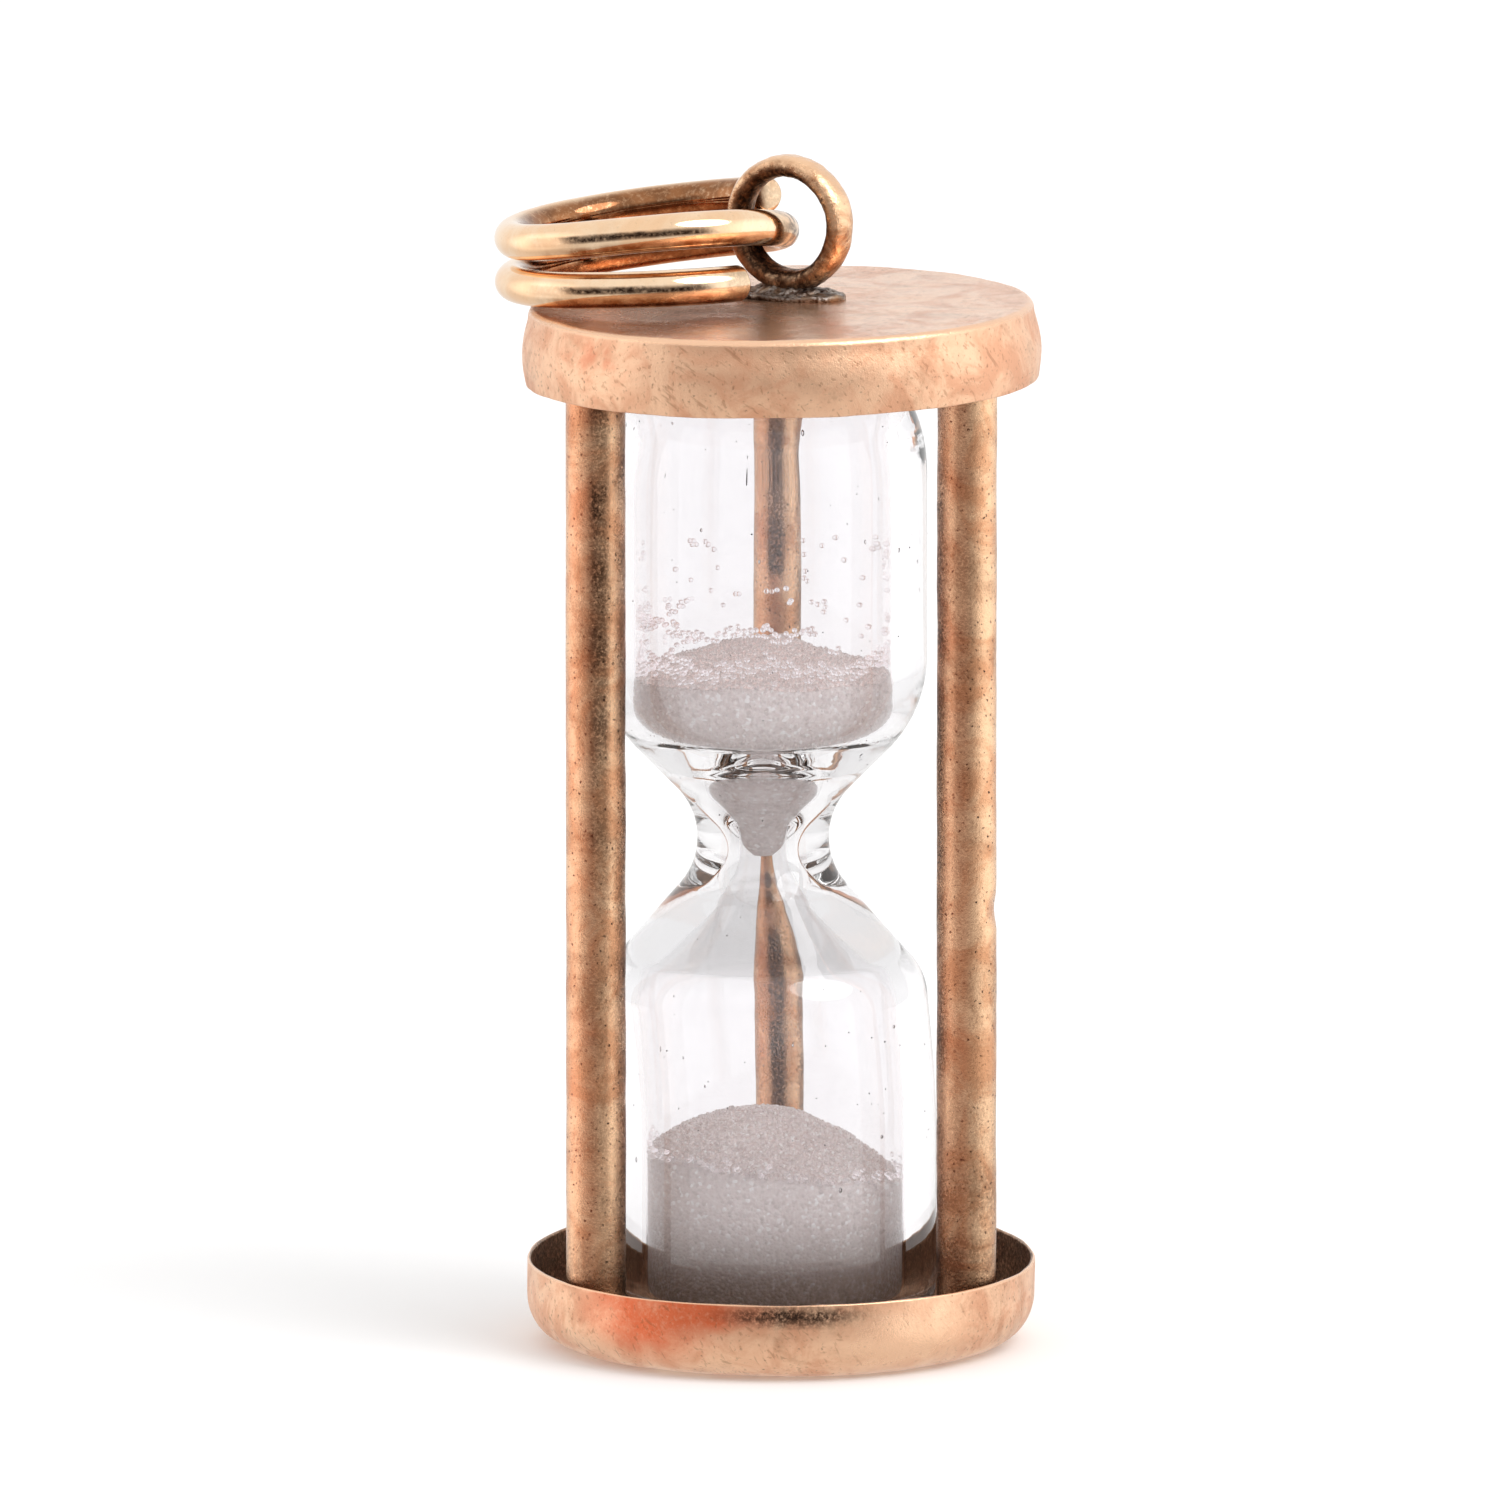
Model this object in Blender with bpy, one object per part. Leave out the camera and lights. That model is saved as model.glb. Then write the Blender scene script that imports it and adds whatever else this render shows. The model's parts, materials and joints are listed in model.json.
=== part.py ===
"""Miniature hourglass charm: a glass vial caged by two gold caps and three rods.

The origin is the centre of the underside of the bottom cap, +Z is up, -Y is the front.
All lengths are in metres. Run with: blender --background --python part.py
"""
import math

import bmesh
import bpy
from mathutils import Matrix, Vector

MM = 0.001
ON_AXIS = 1e-7                    # a radius below this is a single point on the axis
ARC_STEP = math.radians(23.0)     # coarsest turn between two points of a rounded corner
SHARP_ANGLE = math.radians(40.0)

# Cage
BODY_HEIGHT = 24.00 * MM          # underside of the bottom cap to the top of the top cap
GAP = 0.03 * MM                   # clearance kept between soldered or resting pieces
CAP_SEGMENTS = 40

# Bottom cap: a shallow cup, rim up
CUP_RADIUS = 5.83 * MM
CUP_HEIGHT = 1.87 * MM
CUP_WALL = 0.15 * MM
CUP_CORNER = 1.12 * MM
CUP_LIP = 0.05 * MM
CUP_BACK_RISE = 0.38 * MM         # the rim was hammered up a little at the back

# Top cap: the same cup turned over, with a crisper edge and a bowed side
LID_EDGE_RADIUS = 5.76 * MM
LID_BELLY_RADIUS = 5.93 * MM
LID_SKIRT_RADIUS = 5.86 * MM
LID_HEIGHT = 1.80 * MM
LID_PLATE = 0.26 * MM
LID_INNER_RADIUS = 5.68 * MM
LID_EDGE_ROUND = 0.14 * MM
LID_INNER_ROUND = 0.35 * MM
LID_SKIRT_ROUND = 0.04 * MM
LID_TILT = math.radians(0.9)      # the lid was soldered on slightly low at the left

# Rods
ROD_CIRCLE = 4.87 * MM
ROD_RADIUS = 0.70 * MM
ROD_BOTTOM = 0.93 * MM
ROD_TOP_RECESS = 0.52 * MM        # rod end below the lid's top face
ROD_END_BEVEL = 0.08 * MM
ROD_SEGMENTS = 24
ROD_ANGLES = {"rod_left": 210.0, "rod_right": 330.0, "rod_back": 90.0}

# Solder where a rod meets a cap
SOLDER_SPREAD = 1.15 * MM
SOLDER_RISE = 0.42 * MM           # how far the solder climbs the rod past its end
TALL_SOLDER_RISE = 1.05 * MM      # at the foot of the left rod
SOLDER_SEGMENTS = 20

# Glass vial
VIAL_BOTTOM = CUP_WALL + GAP
VIAL_TOP = 23.30 * MM
UPPER_BULB_RADIUS = 3.74 * MM
LOWER_BULB_RADIUS = 3.69 * MM
UPPER_BORE_RADIUS = 2.94 * MM
LOWER_BORE_RADIUS = 2.95 * MM
CROWN_HEIGHT = 3.30 * MM
CROWN_POWER = 2.3                 # 2 is an ellipse, and more is squarer
CROWN_SHARE = 0.98                # how far up its quarter turn the crown is drawn
CROWN_WALL = 0.80 * MM
FOOT_HEIGHT = 1.30 * MM
FOOT_POWER = 3.2
FOOT_WALL = 0.45 * MM
BORE_CROWN_HEIGHT = 1.60 * MM
BORE_CROWN_POWER = 2.6
BORE_CROWN_SHARE = 0.96
BORE_FOOT_HEIGHT = 0.95 * MM
UPPER_SHOULDER_Z = 14.62 * MM     # where the upper cone meets the upper bulb's wall
LOWER_SHOULDER_Z = 8.52 * MM
UPPER_SHOULDER_ROUND = 3.00 * MM
LOWER_SHOULDER_ROUND = 1.30 * MM
NECK_Z = 11.73 * MM
NECK_CONE_RADIUS = 0.895 * MM     # where the two outer cones would meet
NECK_ROUND = 1.68 * MM

# Bore corners, as (radius, z, rounding): each bulb's floor is a shallow bowl over a steep throat
BORE_LOWER_SHOULDER = (LOWER_BORE_RADIUS, 8.40 * MM, 1.10 * MM)
BORE_LOWER_THROAT = (0.95 * MM, 10.10 * MM, 1.20 * MM)
BORE_NECK = (0.36 * MM, 11.50 * MM, 1.60 * MM)
BORE_UPPER_THROAT = (1.42 * MM, 13.45 * MM, 0.90 * MM)
BORE_UPPER_SHOULDER = (UPPER_BORE_RADIUS, 14.50 * MM, 1.10 * MM)

FILL_HOLE_RADIUS = 0.34 * MM
HOLE_EDGE = 0.02 * MM             # the hole's edges lie this far inside the two crowns
SEAL_NIB_RADIUS = 0.62 * MM
SEAL_NIB_HEIGHT = 0.16 * MM
SEAL_STEM_RECESS = 0.10 * MM
SEAL_SEGMENTS = 20
VIAL_SEGMENTS = 28
DOME_STEPS = 6
UPPER_BULB_OFFSET = -0.41 * MM    # the vial leans on the left rod
LOWER_BULB_OFFSET = -0.14 * MM
BEND_START_Z = 5.0 * MM
BEND_END_Z = 9.5 * MM

# Sand
SAND_GAP = 0.06 * MM
UPPER_SAND_EDGE_Z = 15.55 * MM
UPPER_SAND_MOUND = 0.75 * MM
SAND_COLUMN_END_Z = 11.15 * MM
LOWER_SAND_EDGE_Z = 3.90 * MM
LOWER_SAND_HEAP = 1.49 * MM
SAND_RIM_ROOM = 0.6 * MM          # bare wall below the heap's uneven rim
LOWER_SAND_SLOPE = 0.03           # the heap leans up towards the left
LOWER_HEAP_SHIFT = -0.35 * MM
LOWER_HEAP_RADIUS = 3.35 * MM
SAND_RINGS = 5

# Bail: the round loop soldered upright on the lid
BAIL_OUTER_RADIUS = 1.60 * MM
BAIL_THICKNESS = 0.56 * MM
BAIL_WIDTH = 0.86 * MM            # along the loop's axis
BAIL_X = 0.22 * MM
BAIL_Y = 0.90 * MM
BAIL_LIFT = 0.08 * MM
BAIL_YAW = math.radians(-31.0)
BAIL_SEGMENTS = 32
BAIL_SOLDER_HEIGHT = 0.42 * MM
BAIL_SOLDER_LENGTH = 1.40 * MM
BAIL_SOLDER_WIDTH = 0.85 * MM
BAIL_SOLDER_POWER = 0.8           # below 1 the solder's side is fuller than an ellipse
BAIL_SOLDER_SEGMENTS = 28

# Split ring: one and three quarter turns of round wire
RING_RADIUS = 3.06 * MM
RING_WIRE_RADIUS = 0.43 * MM
RING_PITCH = 1.00 * MM
RING_TURNS = 1.80
RING_START = math.radians(-46.0)
RING_X = -3.04 * MM
RING_Y = 1.06 * MM
RING_LIFT = 0.28 * MM
RING_SPREAD = 0.30 * MM           # the coils are sprung apart where the bail passes them
RING_SPREAD_AT = 1.06             # in turns from the lower end
RING_SPREAD_REACH = 0.30
RING_END_PRESS = 0.08 * MM        # the upper end is pressed down over its last stretch
RING_END_STRETCH = 0.30           # in turns
RING_RISE_RIGHT = 0.240 * MM      # how much higher than its centre the ring's right side lies
RING_RISE_FRONT = 0.240 * MM
RING_STEPS_PER_TURN = 36
TANGENT_STEP = 0.01               # turn, in radians, either side of a point on the ring
WIRE_SIDES = 10

GOLD = ((0.80, 0.50, 0.33), 0.28, 1.0)
POLISHED_GOLD = ((0.86, 0.56, 0.34), 0.16, 1.0)
SOLDER = ((0.46, 0.38, 0.32), 0.50, 1.0)
GLASS = ((0.95, 0.96, 0.96), 0.03, 0.0)
SAND = ((0.76, 0.72, 0.71), 0.75, 0.0)


def clear_scene():
    for item in list(bpy.data.objects):
        bpy.data.objects.remove(item, do_unlink=True)


def new_material(name, finish, transmission=0.0):
    colour, roughness, metallic = finish
    material = bpy.data.materials.new(name)
    material.use_nodes = True
    shader = material.node_tree.nodes["Principled BSDF"]
    shader.inputs["Base Color"].default_value = (*colour, 1.0)
    shader.inputs["Roughness"].default_value = roughness
    shader.inputs["Metallic"].default_value = metallic
    shader.inputs["Transmission Weight"].default_value = transmission
    return material


def add_empty(name, matrix, parent=None):
    empty = bpy.data.objects.new(name, None)
    bpy.context.scene.collection.objects.link(empty)
    empty.parent = parent
    empty.matrix_local = matrix
    return empty


def add_object(name, mesh_data, material, parent=None, location=(0.0, 0.0, 0.0)):
    mesh = bpy.data.meshes.new(name)
    bmesh.ops.recalc_face_normals(mesh_data, faces=mesh_data.faces)
    mesh_data.to_mesh(mesh)
    mesh_data.free()
    mesh.materials.append(material)
    mesh.shade_smooth()
    mesh.set_sharp_from_angle(angle=SHARP_ANGLE)
    item = bpy.data.objects.new(name, mesh)
    bpy.context.scene.collection.objects.link(item)
    item.parent = parent
    item.location = location
    return item


def add_cutter(name, mesh_data, material, parent=None, location=(0.0, 0.0, 0.0)):
    cutter = add_object(name, mesh_data, material, parent, location)
    cutter.hide_render = True
    cutter.display_type = "WIRE"
    return cutter


def add_boolean(item, cutter, operation):
    cut = item.modifiers.new(operation.lower(), "BOOLEAN")
    cut.operation = operation
    cut.object = cutter


def rounded_outline(corners):
    """Turn (r, z, rounding) corners into points, with an arc at each rounded corner."""
    points = []
    for index, (r, z, rounding) in enumerate(corners):
        here = Vector((r, z))
        if rounding <= 0.0:
            points.append(here)
            continue
        before = (Vector(corners[index - 1][:2]) - here).normalized()
        after = (Vector(corners[index + 1][:2]) - here).normalized()
        opening = before.angle(after)
        reach = rounding / math.tan(opening / 2.0)
        centre = here + (before + after).normalized() * rounding / math.sin(opening / 2.0)
        start = here + before * reach - centre
        end = here + after * reach - centre
        count = max(2, round((math.pi - opening) / ARC_STEP))
        turn = start.angle_signed(end)
        for number in range(count + 1):
            arm = start.copy()
            arm.rotate(Matrix.Rotation(-turn * number / count, 2))
            points.append(centre + arm)
    return [(point.x, point.y) for point in points]


def dome_points(radius, base_z, height, power, first, last):
    """Points of a superellipse dome, from the fraction first to last of its quarter turn."""
    points = []
    for number in range(DOME_STEPS + 1):
        angle = math.pi / 2.0 * (first + (last - first) * number / DOME_STEPS)
        r = radius * abs(math.cos(angle)) ** (2.0 / power)
        z = base_z + height * abs(math.sin(angle)) ** (2.0 / power)
        points.append((r, z))
    return points


def vial_axis(z):
    """Sideways offset of the vial's axis: the two bulbs aren't quite in line."""
    share = min(1.0, max(0.0, (z - BEND_START_Z) / (BEND_END_Z - BEND_START_Z)))
    smooth = share * share * (3.0 - 2.0 * share)
    return LOWER_BULB_OFFSET + (UPPER_BULB_OFFSET - LOWER_BULB_OFFSET) * smooth


def straight_axis(z):
    return 0.0


def lathe(outline, segments, axis=straight_axis, closed=False):
    """Turn an (r, z) outline about +Z. A closed outline makes a ring-shaped body."""
    mesh_data = bmesh.new()
    rings = []
    for r, z in outline:
        if r < ON_AXIS:
            rings.append([mesh_data.verts.new((axis(z), 0.0, z))])
            continue
        ring = []
        for number in range(segments):
            angle = 2.0 * math.pi * number / segments
            place = (axis(z) + r * math.cos(angle), r * math.sin(angle), z)
            ring.append(mesh_data.verts.new(place))
        rings.append(ring)
    pairs = list(zip(rings, rings[1:]))
    if closed:
        pairs.append((rings[-1], rings[0]))
    for lower, upper in pairs:
        for number in range(segments):
            after = (number + 1) % segments
            corners = [lower[number % len(lower)], lower[after % len(lower)],
                       upper[after % len(upper)], upper[number % len(upper)]]
            unique = list(dict.fromkeys(corners))
            mesh_data.faces.new(unique)
    return mesh_data


def sweep_wire(centres, frames, radii, sides, closed):
    """Sweep an oval along centres. Each frame is the pair of directions of the two radii."""
    mesh_data = bmesh.new()
    rings = []
    for centre, (across, up) in zip(centres, frames):
        ring = []
        for number in range(sides):
            angle = 2.0 * math.pi * number / sides
            spoke = across * math.cos(angle) * radii[0] + up * math.sin(angle) * radii[1]
            ring.append(mesh_data.verts.new(centre + spoke))
        rings.append(ring)
    pairs = list(zip(rings, rings[1:]))
    if closed:
        pairs.append((rings[-1], rings[0]))
    for first, second in pairs:
        for number in range(sides):
            after = (number + 1) % sides
            mesh_data.faces.new((first[number], first[after], second[after], second[number]))
    if not closed:
        mesh_data.faces.new(rings[0])
        mesh_data.faces.new(rings[-1])
    return mesh_data


def cup_outline(shrink=0.0):
    """Outline of the cup's inside, pulled in by shrink, from the axis to the rim."""
    radius = CUP_RADIUS - CUP_WALL - shrink
    return [(0.0, CUP_WALL + shrink, 0.0),
            (radius, CUP_WALL + shrink, CUP_CORNER - CUP_WALL - shrink)]


def make_bottom_cap(material):
    inside = list(reversed(cup_outline()))
    corners = [(0.0, 0.0, 0.0),
               (CUP_RADIUS, 0.0, CUP_CORNER),
               (CUP_RADIUS, CUP_HEIGHT, CUP_LIP),
               (CUP_RADIUS - CUP_WALL, CUP_HEIGHT, CUP_LIP)]
    mesh_data = lathe(rounded_outline(corners + inside), CAP_SEGMENTS)
    for vert in mesh_data.verts:
        up_the_wall = max(0.0, (vert.co.z - CUP_CORNER) / (CUP_HEIGHT - CUP_CORNER))
        towards_back = 0.5 + 0.5 * vert.co.y / CUP_RADIUS
        vert.co.z += CUP_BACK_RISE * up_the_wall * towards_back ** 2
    add_object("bottom_cap", mesh_data, material)


def bowed_side():
    """Points down the lid's side, bowed out between its edge and its skirt."""
    edge = Vector((LID_EDGE_RADIUS, -LID_EDGE_ROUND))
    skirt = Vector((LID_SKIRT_RADIUS, -LID_HEIGHT))
    belly = LID_BELLY_RADIUS - (LID_EDGE_RADIUS + LID_SKIRT_RADIUS) / 2.0
    points = []
    steps = 6
    for number in range(1, steps):
        share = number / steps
        point = edge.lerp(skirt, share)
        points.append((point.x + belly * math.sin(math.pi * share), point.y, 0.0))
    return points


def make_top_cap(material, top):
    corners = [(0.0, 0.0, 0.0), (LID_EDGE_RADIUS, 0.0, LID_EDGE_ROUND)]
    corners += bowed_side()
    corners += [(LID_SKIRT_RADIUS, -LID_HEIGHT, LID_SKIRT_ROUND),
                (LID_INNER_RADIUS, -LID_HEIGHT, 0.0),
                (LID_INNER_RADIUS, -LID_PLATE, LID_INNER_ROUND),
                (0.0, -LID_PLATE, 0.0)]
    outline = rounded_outline(corners)
    add_object("top_cap", lathe(outline, CAP_SEGMENTS), material, top)


def rod_place(angle_degrees):
    angle = math.radians(angle_degrees)
    return (ROD_CIRCLE * math.cos(angle), ROD_CIRCLE * math.sin(angle))


def lid_height_at(x):
    """Height of the lid's tilted top face over the point x."""
    return BODY_HEIGHT + x * math.tan(LID_TILT)


def make_rod(name, angle_degrees, material):
    x, y = rod_place(angle_degrees)
    top = lid_height_at(x) - ROD_TOP_RECESS
    outline = [(0.0, ROD_BOTTOM),
               (ROD_RADIUS - ROD_END_BEVEL, ROD_BOTTOM),
               (ROD_RADIUS, ROD_BOTTOM + ROD_END_BEVEL),
               (ROD_RADIUS, top - ROD_END_BEVEL),
               (ROD_RADIUS - ROD_END_BEVEL, top),
               (0.0, top)]
    lowered = [(r, z - ROD_BOTTOM) for r, z in outline]
    add_object(name, lathe(lowered, ROD_SEGMENTS), material, None, (x, y, ROD_BOTTOM))


def solder_mound(base, rod_end, climb):
    """Concave mound about a rod's axis, from a cap's face to a climb past the rod's end."""
    direction = 1.0 if rod_end > base else -1.0
    crest = rod_end + direction * climb
    outline = [(0.0, base - direction * GAP)]
    steps = 6
    for number in range(steps + 1):
        angle = math.pi / 2.0 * number / steps
        r = SOLDER_SPREAD - (SOLDER_SPREAD - ROD_RADIUS - 2.0 * GAP) * math.sin(angle)
        z = crest - (crest - base + direction * GAP) * math.cos(angle)
        outline.append((r, z))
    outline.append((0.0, crest))
    return lathe(outline, SOLDER_SEGMENTS)


def make_rod_solder(side, angle_degrees, material, base, rod_end, interior, level):
    x, y = rod_place(angle_degrees)
    name = "solder_" + level + "_" + side
    climb = TALL_SOLDER_RISE if name == "solder_lower_left" else SOLDER_RISE
    item = add_object(name, solder_mound(base, rod_end, climb), material, None, (x, y, 0.0))
    clearance = ROD_RADIUS + GAP
    far = BODY_HEIGHT - base
    near = rod_end - GAP if rod_end > base else rod_end + GAP
    outline = [(0.0, near), (clearance, near), (clearance, far), (0.0, far)]
    cutter = add_cutter(name + "_bore", lathe(outline, ROD_SEGMENTS), material, None, (x, y, 0.0))
    add_boolean(item, cutter, "DIFFERENCE")
    add_boolean(item, interior, "INTERSECT")


def cup_interior(material):
    corners = cup_outline(GAP)
    ceiling = ROD_BOTTOM + TALL_SOLDER_RISE + GAP
    corners += [(CUP_RADIUS - CUP_WALL - GAP, ceiling, 0.0), (0.0, ceiling, 0.0)]
    return add_cutter("cup_interior", lathe(rounded_outline(corners), CAP_SEGMENTS), material)


def lid_interior(material, top):
    radius = LID_INNER_RADIUS - GAP
    corners = [(0.0, -LID_HEIGHT, 0.0),
               (radius, -LID_HEIGHT, 0.0),
               (radius, -LID_PLATE - GAP, LID_INNER_ROUND - GAP),
               (0.0, -LID_PLATE - GAP, 0.0)]
    mesh_data = lathe(rounded_outline(corners), CAP_SEGMENTS)
    return add_cutter("lid_interior", mesh_data, material, top)


def vial_outside():
    """Outer outline of the glass, from its foot up to the fill hole."""
    foot_z = VIAL_BOTTOM + FOOT_HEIGHT
    crown_z = VIAL_TOP - CROWN_HEIGHT
    foot = dome_points(LOWER_BULB_RADIUS, foot_z, -FOOT_HEIGHT, FOOT_POWER, 1.0, 0.0)
    waist = rounded_outline([(LOWER_BULB_RADIUS, foot_z, 0.0),
                             (LOWER_BULB_RADIUS, LOWER_SHOULDER_Z, LOWER_SHOULDER_ROUND),
                             (NECK_CONE_RADIUS, NECK_Z, NECK_ROUND),
                             (UPPER_BULB_RADIUS, UPPER_SHOULDER_Z, UPPER_SHOULDER_ROUND),
                             (UPPER_BULB_RADIUS, crown_z, 0.0)])
    crown = dome_points(UPPER_BULB_RADIUS, crown_z, CROWN_HEIGHT, CROWN_POWER, 0.0, CROWN_SHARE)
    return foot + waist[1:-1] + crown


def bore_outline(shrink=0.0):
    """Outline of the vial's bore, pulled in by shrink, from its lower end up."""
    lower = LOWER_BORE_RADIUS - shrink
    upper = UPPER_BORE_RADIUS - shrink
    foot_z = VIAL_BOTTOM + FOOT_WALL + BORE_FOOT_HEIGHT
    crown_z = VIAL_TOP - CROWN_WALL - BORE_CROWN_HEIGHT
    foot = dome_points(lower, foot_z, -(BORE_FOOT_HEIGHT - shrink), FOOT_POWER, 1.0, 0.0)
    corners = [BORE_LOWER_SHOULDER, BORE_LOWER_THROAT, BORE_NECK,
               BORE_UPPER_THROAT, BORE_UPPER_SHOULDER]
    corners = [(radius - shrink, z, rounding) for radius, z, rounding in corners]
    waist = rounded_outline([(lower, foot_z, 0.0)] + corners + [(upper, crown_z, 0.0)])
    crown = dome_points(upper, crown_z, BORE_CROWN_HEIGHT - shrink, BORE_CROWN_POWER,
                        0.0, BORE_CROWN_SHARE)
    return foot + waist[1:-1] + crown


def make_vial(material):
    """The glass and its bore, joined through the fill hole in the crown."""
    crown_top = VIAL_TOP - HOLE_EDGE
    bore_top = VIAL_TOP - CROWN_WALL - HOLE_EDGE
    outside = [point for point in vial_outside() if point[1] < crown_top]
    inside = [point for point in bore_outline() if point[1] < bore_top]
    hole = [(FILL_HOLE_RADIUS, crown_top + HOLE_EDGE / 2.0),
            (FILL_HOLE_RADIUS, bore_top + 1.5 * HOLE_EDGE)]
    outline = outside + hole + list(reversed(inside))
    add_object("vial", lathe(outline, VIAL_SEGMENTS, vial_axis), material)


def make_vial_seal(material):
    """The melted tip: a stem in the fill hole under a low domed nib."""
    stem = FILL_HOLE_RADIUS - GAP
    stem_base = VIAL_TOP - CROWN_WALL + SEAL_STEM_RECESS
    nib_base = VIAL_TOP + GAP
    nib = dome_points(SEAL_NIB_RADIUS, nib_base, SEAL_NIB_HEIGHT, 2.0, 0.0, 1.0)
    outline = [(0.0, stem_base), (stem, stem_base), (stem, nib_base)] + nib
    add_object("vial_seal", lathe(outline, SEAL_SEGMENTS, vial_axis), material)


def bore_radius(outline, z):
    """Radius of a bore outline at height z, by straight lines between its points."""
    for (r0, z0), (r1, z1) in zip(outline, outline[1:]):
        if z0 <= z <= z1 and z1 > z0:
            return r0 + (r1 - r0) * (z - z0) / (z1 - z0)
    return 0.0


def sand_body(wall, surface):
    """Closed sand body: the wall outline from below, then a surface(x, y) over the top."""
    radius, edge_z = wall[-1]
    inner = [(radius * (1.0 - number / SAND_RINGS), edge_z) for number in range(1, SAND_RINGS + 1)]
    mesh_data = lathe(wall + inner, VIAL_SEGMENTS, vial_axis)
    first_top = 1 + VIAL_SEGMENTS * (len(wall) - 2)
    for vert in list(mesh_data.verts)[first_top:]:
        vert.co.z = surface(vert.co.x - vial_axis(edge_z), vert.co.y)
    return mesh_data


def upper_sand_surface(x, y):
    share = min(1.0, math.hypot(x, y) / UPPER_BORE_RADIUS)
    return UPPER_SAND_EDGE_Z + UPPER_SAND_MOUND * math.cos(math.pi / 2.0 * share) ** 2


def lower_sand_surface(x, y):
    share = min(1.0, math.hypot(x - LOWER_HEAP_SHIFT, y) / LOWER_HEAP_RADIUS)
    heap = LOWER_SAND_HEAP * math.cos(math.pi / 2.0 * share)
    return LOWER_SAND_EDGE_Z + heap - LOWER_SAND_SLOPE * x


def make_sand_upper(material):
    outline = bore_outline(SAND_GAP)
    wall = [(0.0, SAND_COLUMN_END_Z),
            (bore_radius(outline, SAND_COLUMN_END_Z), SAND_COLUMN_END_Z)]
    wall += [point for point in outline if SAND_COLUMN_END_Z < point[1] < UPPER_SAND_EDGE_Z - GAP]
    wall.append((bore_radius(outline, UPPER_SAND_EDGE_Z), UPPER_SAND_EDGE_Z))
    add_object("sand_upper", sand_body(wall, upper_sand_surface), material)


def make_sand_lower(material):
    outline = bore_outline(SAND_GAP)
    lowest = outline[0][1]
    ceiling = LOWER_SAND_EDGE_Z - SAND_RIM_ROOM
    wall = [(0.0, lowest)]
    wall += [point for point in outline if point[0] > ON_AXIS and point[1] < ceiling]
    wall.append((bore_radius(outline, LOWER_SAND_EDGE_Z), LOWER_SAND_EDGE_Z))
    add_object("sand_lower", sand_body(wall, lower_sand_surface), material)


def bail_loop(clearance=0.0):
    """The bail's loop, standing in the XZ plane about its own centre, and grown by clearance."""
    radius = BAIL_OUTER_RADIUS - BAIL_THICKNESS / 2.0
    radii = (BAIL_THICKNESS / 2.0 + clearance, BAIL_WIDTH / 2.0 + clearance)
    centres = []
    frames = []
    for number in range(BAIL_SEGMENTS):
        angle = 2.0 * math.pi * number / BAIL_SEGMENTS
        outward = Vector((math.cos(angle), 0.0, math.sin(angle)))
        centres.append(outward * radius)
        frames.append((outward, Vector((0.0, 1.0, 0.0))))
    return sweep_wire(centres, frames, radii, WIRE_SIDES, True)


def solder_pool(length, width, height):
    """Low oval mound of solder with a flat underside."""
    steps = 5
    outline = [(0.0, GAP)]
    for number in range(steps + 1):
        angle = math.pi / 2.0 * number / steps
        outline.append((math.cos(angle) ** BAIL_SOLDER_POWER, GAP + height * math.sin(angle)))
    outline[-1] = (0.0, GAP + height)
    mesh_data = lathe(outline, BAIL_SOLDER_SEGMENTS)
    for vert in mesh_data.verts:
        vert.co.x *= length
        vert.co.y *= width
    return mesh_data


def make_bail(material, solder, pivot):
    add_object("bail", bail_loop(), material, pivot)
    drop = (0.0, 0.0, -(BAIL_OUTER_RADIUS + BAIL_LIFT))
    pool = solder_pool(BAIL_SOLDER_LENGTH, BAIL_SOLDER_WIDTH, BAIL_SOLDER_HEIGHT)
    item = add_object("bail_solder", pool, solder, pivot, drop)
    groove = add_cutter("bail_groove", bail_loop(GAP), material, pivot)
    add_boolean(item, groove, "DIFFERENCE")


def ring_climb(turned):
    """Height of the ring's wire above its lower end, in its own coil."""
    turns = turned / (2.0 * math.pi)
    away = min(1.0, abs(turns - RING_SPREAD_AT) / RING_SPREAD_REACH)
    spread = RING_SPREAD * math.cos(math.pi / 2.0 * away) ** 2
    last = max(0.0, 1.0 - (RING_TURNS - turns) / RING_END_STRETCH)
    return RING_PITCH * turns + spread - RING_END_PRESS * last ** 2


def ring_centre(turned):
    """Centre of the ring's wire after turning by an angle from its lower end."""
    angle = RING_START - turned
    x = RING_RADIUS * math.cos(angle)
    y = RING_RADIUS * math.sin(angle)
    rise = RING_RISE_RIGHT * math.cos(angle) - RING_RISE_FRONT * math.sin(angle)
    return Vector((x, y, RING_LIFT + rise + ring_climb(turned)))


def make_split_ring(material, pivot):
    count = round(RING_STEPS_PER_TURN * RING_TURNS)
    offset = Vector((RING_X - BAIL_X, RING_Y - BAIL_Y, -(BAIL_OUTER_RADIUS + BAIL_LIFT)))
    to_pivot = Matrix.Rotation(-BAIL_YAW, 3, "Z")
    centres = []
    frames = []
    for number in range(count + 1):
        turned = 2.0 * math.pi * RING_TURNS * number / count
        centres.append(to_pivot @ (ring_centre(turned) + offset))
        tangent = ring_centre(turned + TANGENT_STEP) - ring_centre(turned - TANGENT_STEP)
        angle = RING_START - turned
        outward = Vector((math.cos(angle), math.sin(angle), 0.0))
        up = tangent.cross(outward).normalized()
        across = up.cross(tangent).normalized()
        frames.append((to_pivot @ across, to_pivot @ up))
    body = sweep_wire(centres, frames, (RING_WIRE_RADIUS, RING_WIRE_RADIUS), WIRE_SIDES, False)
    add_object("split_ring", body, material, pivot)


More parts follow.
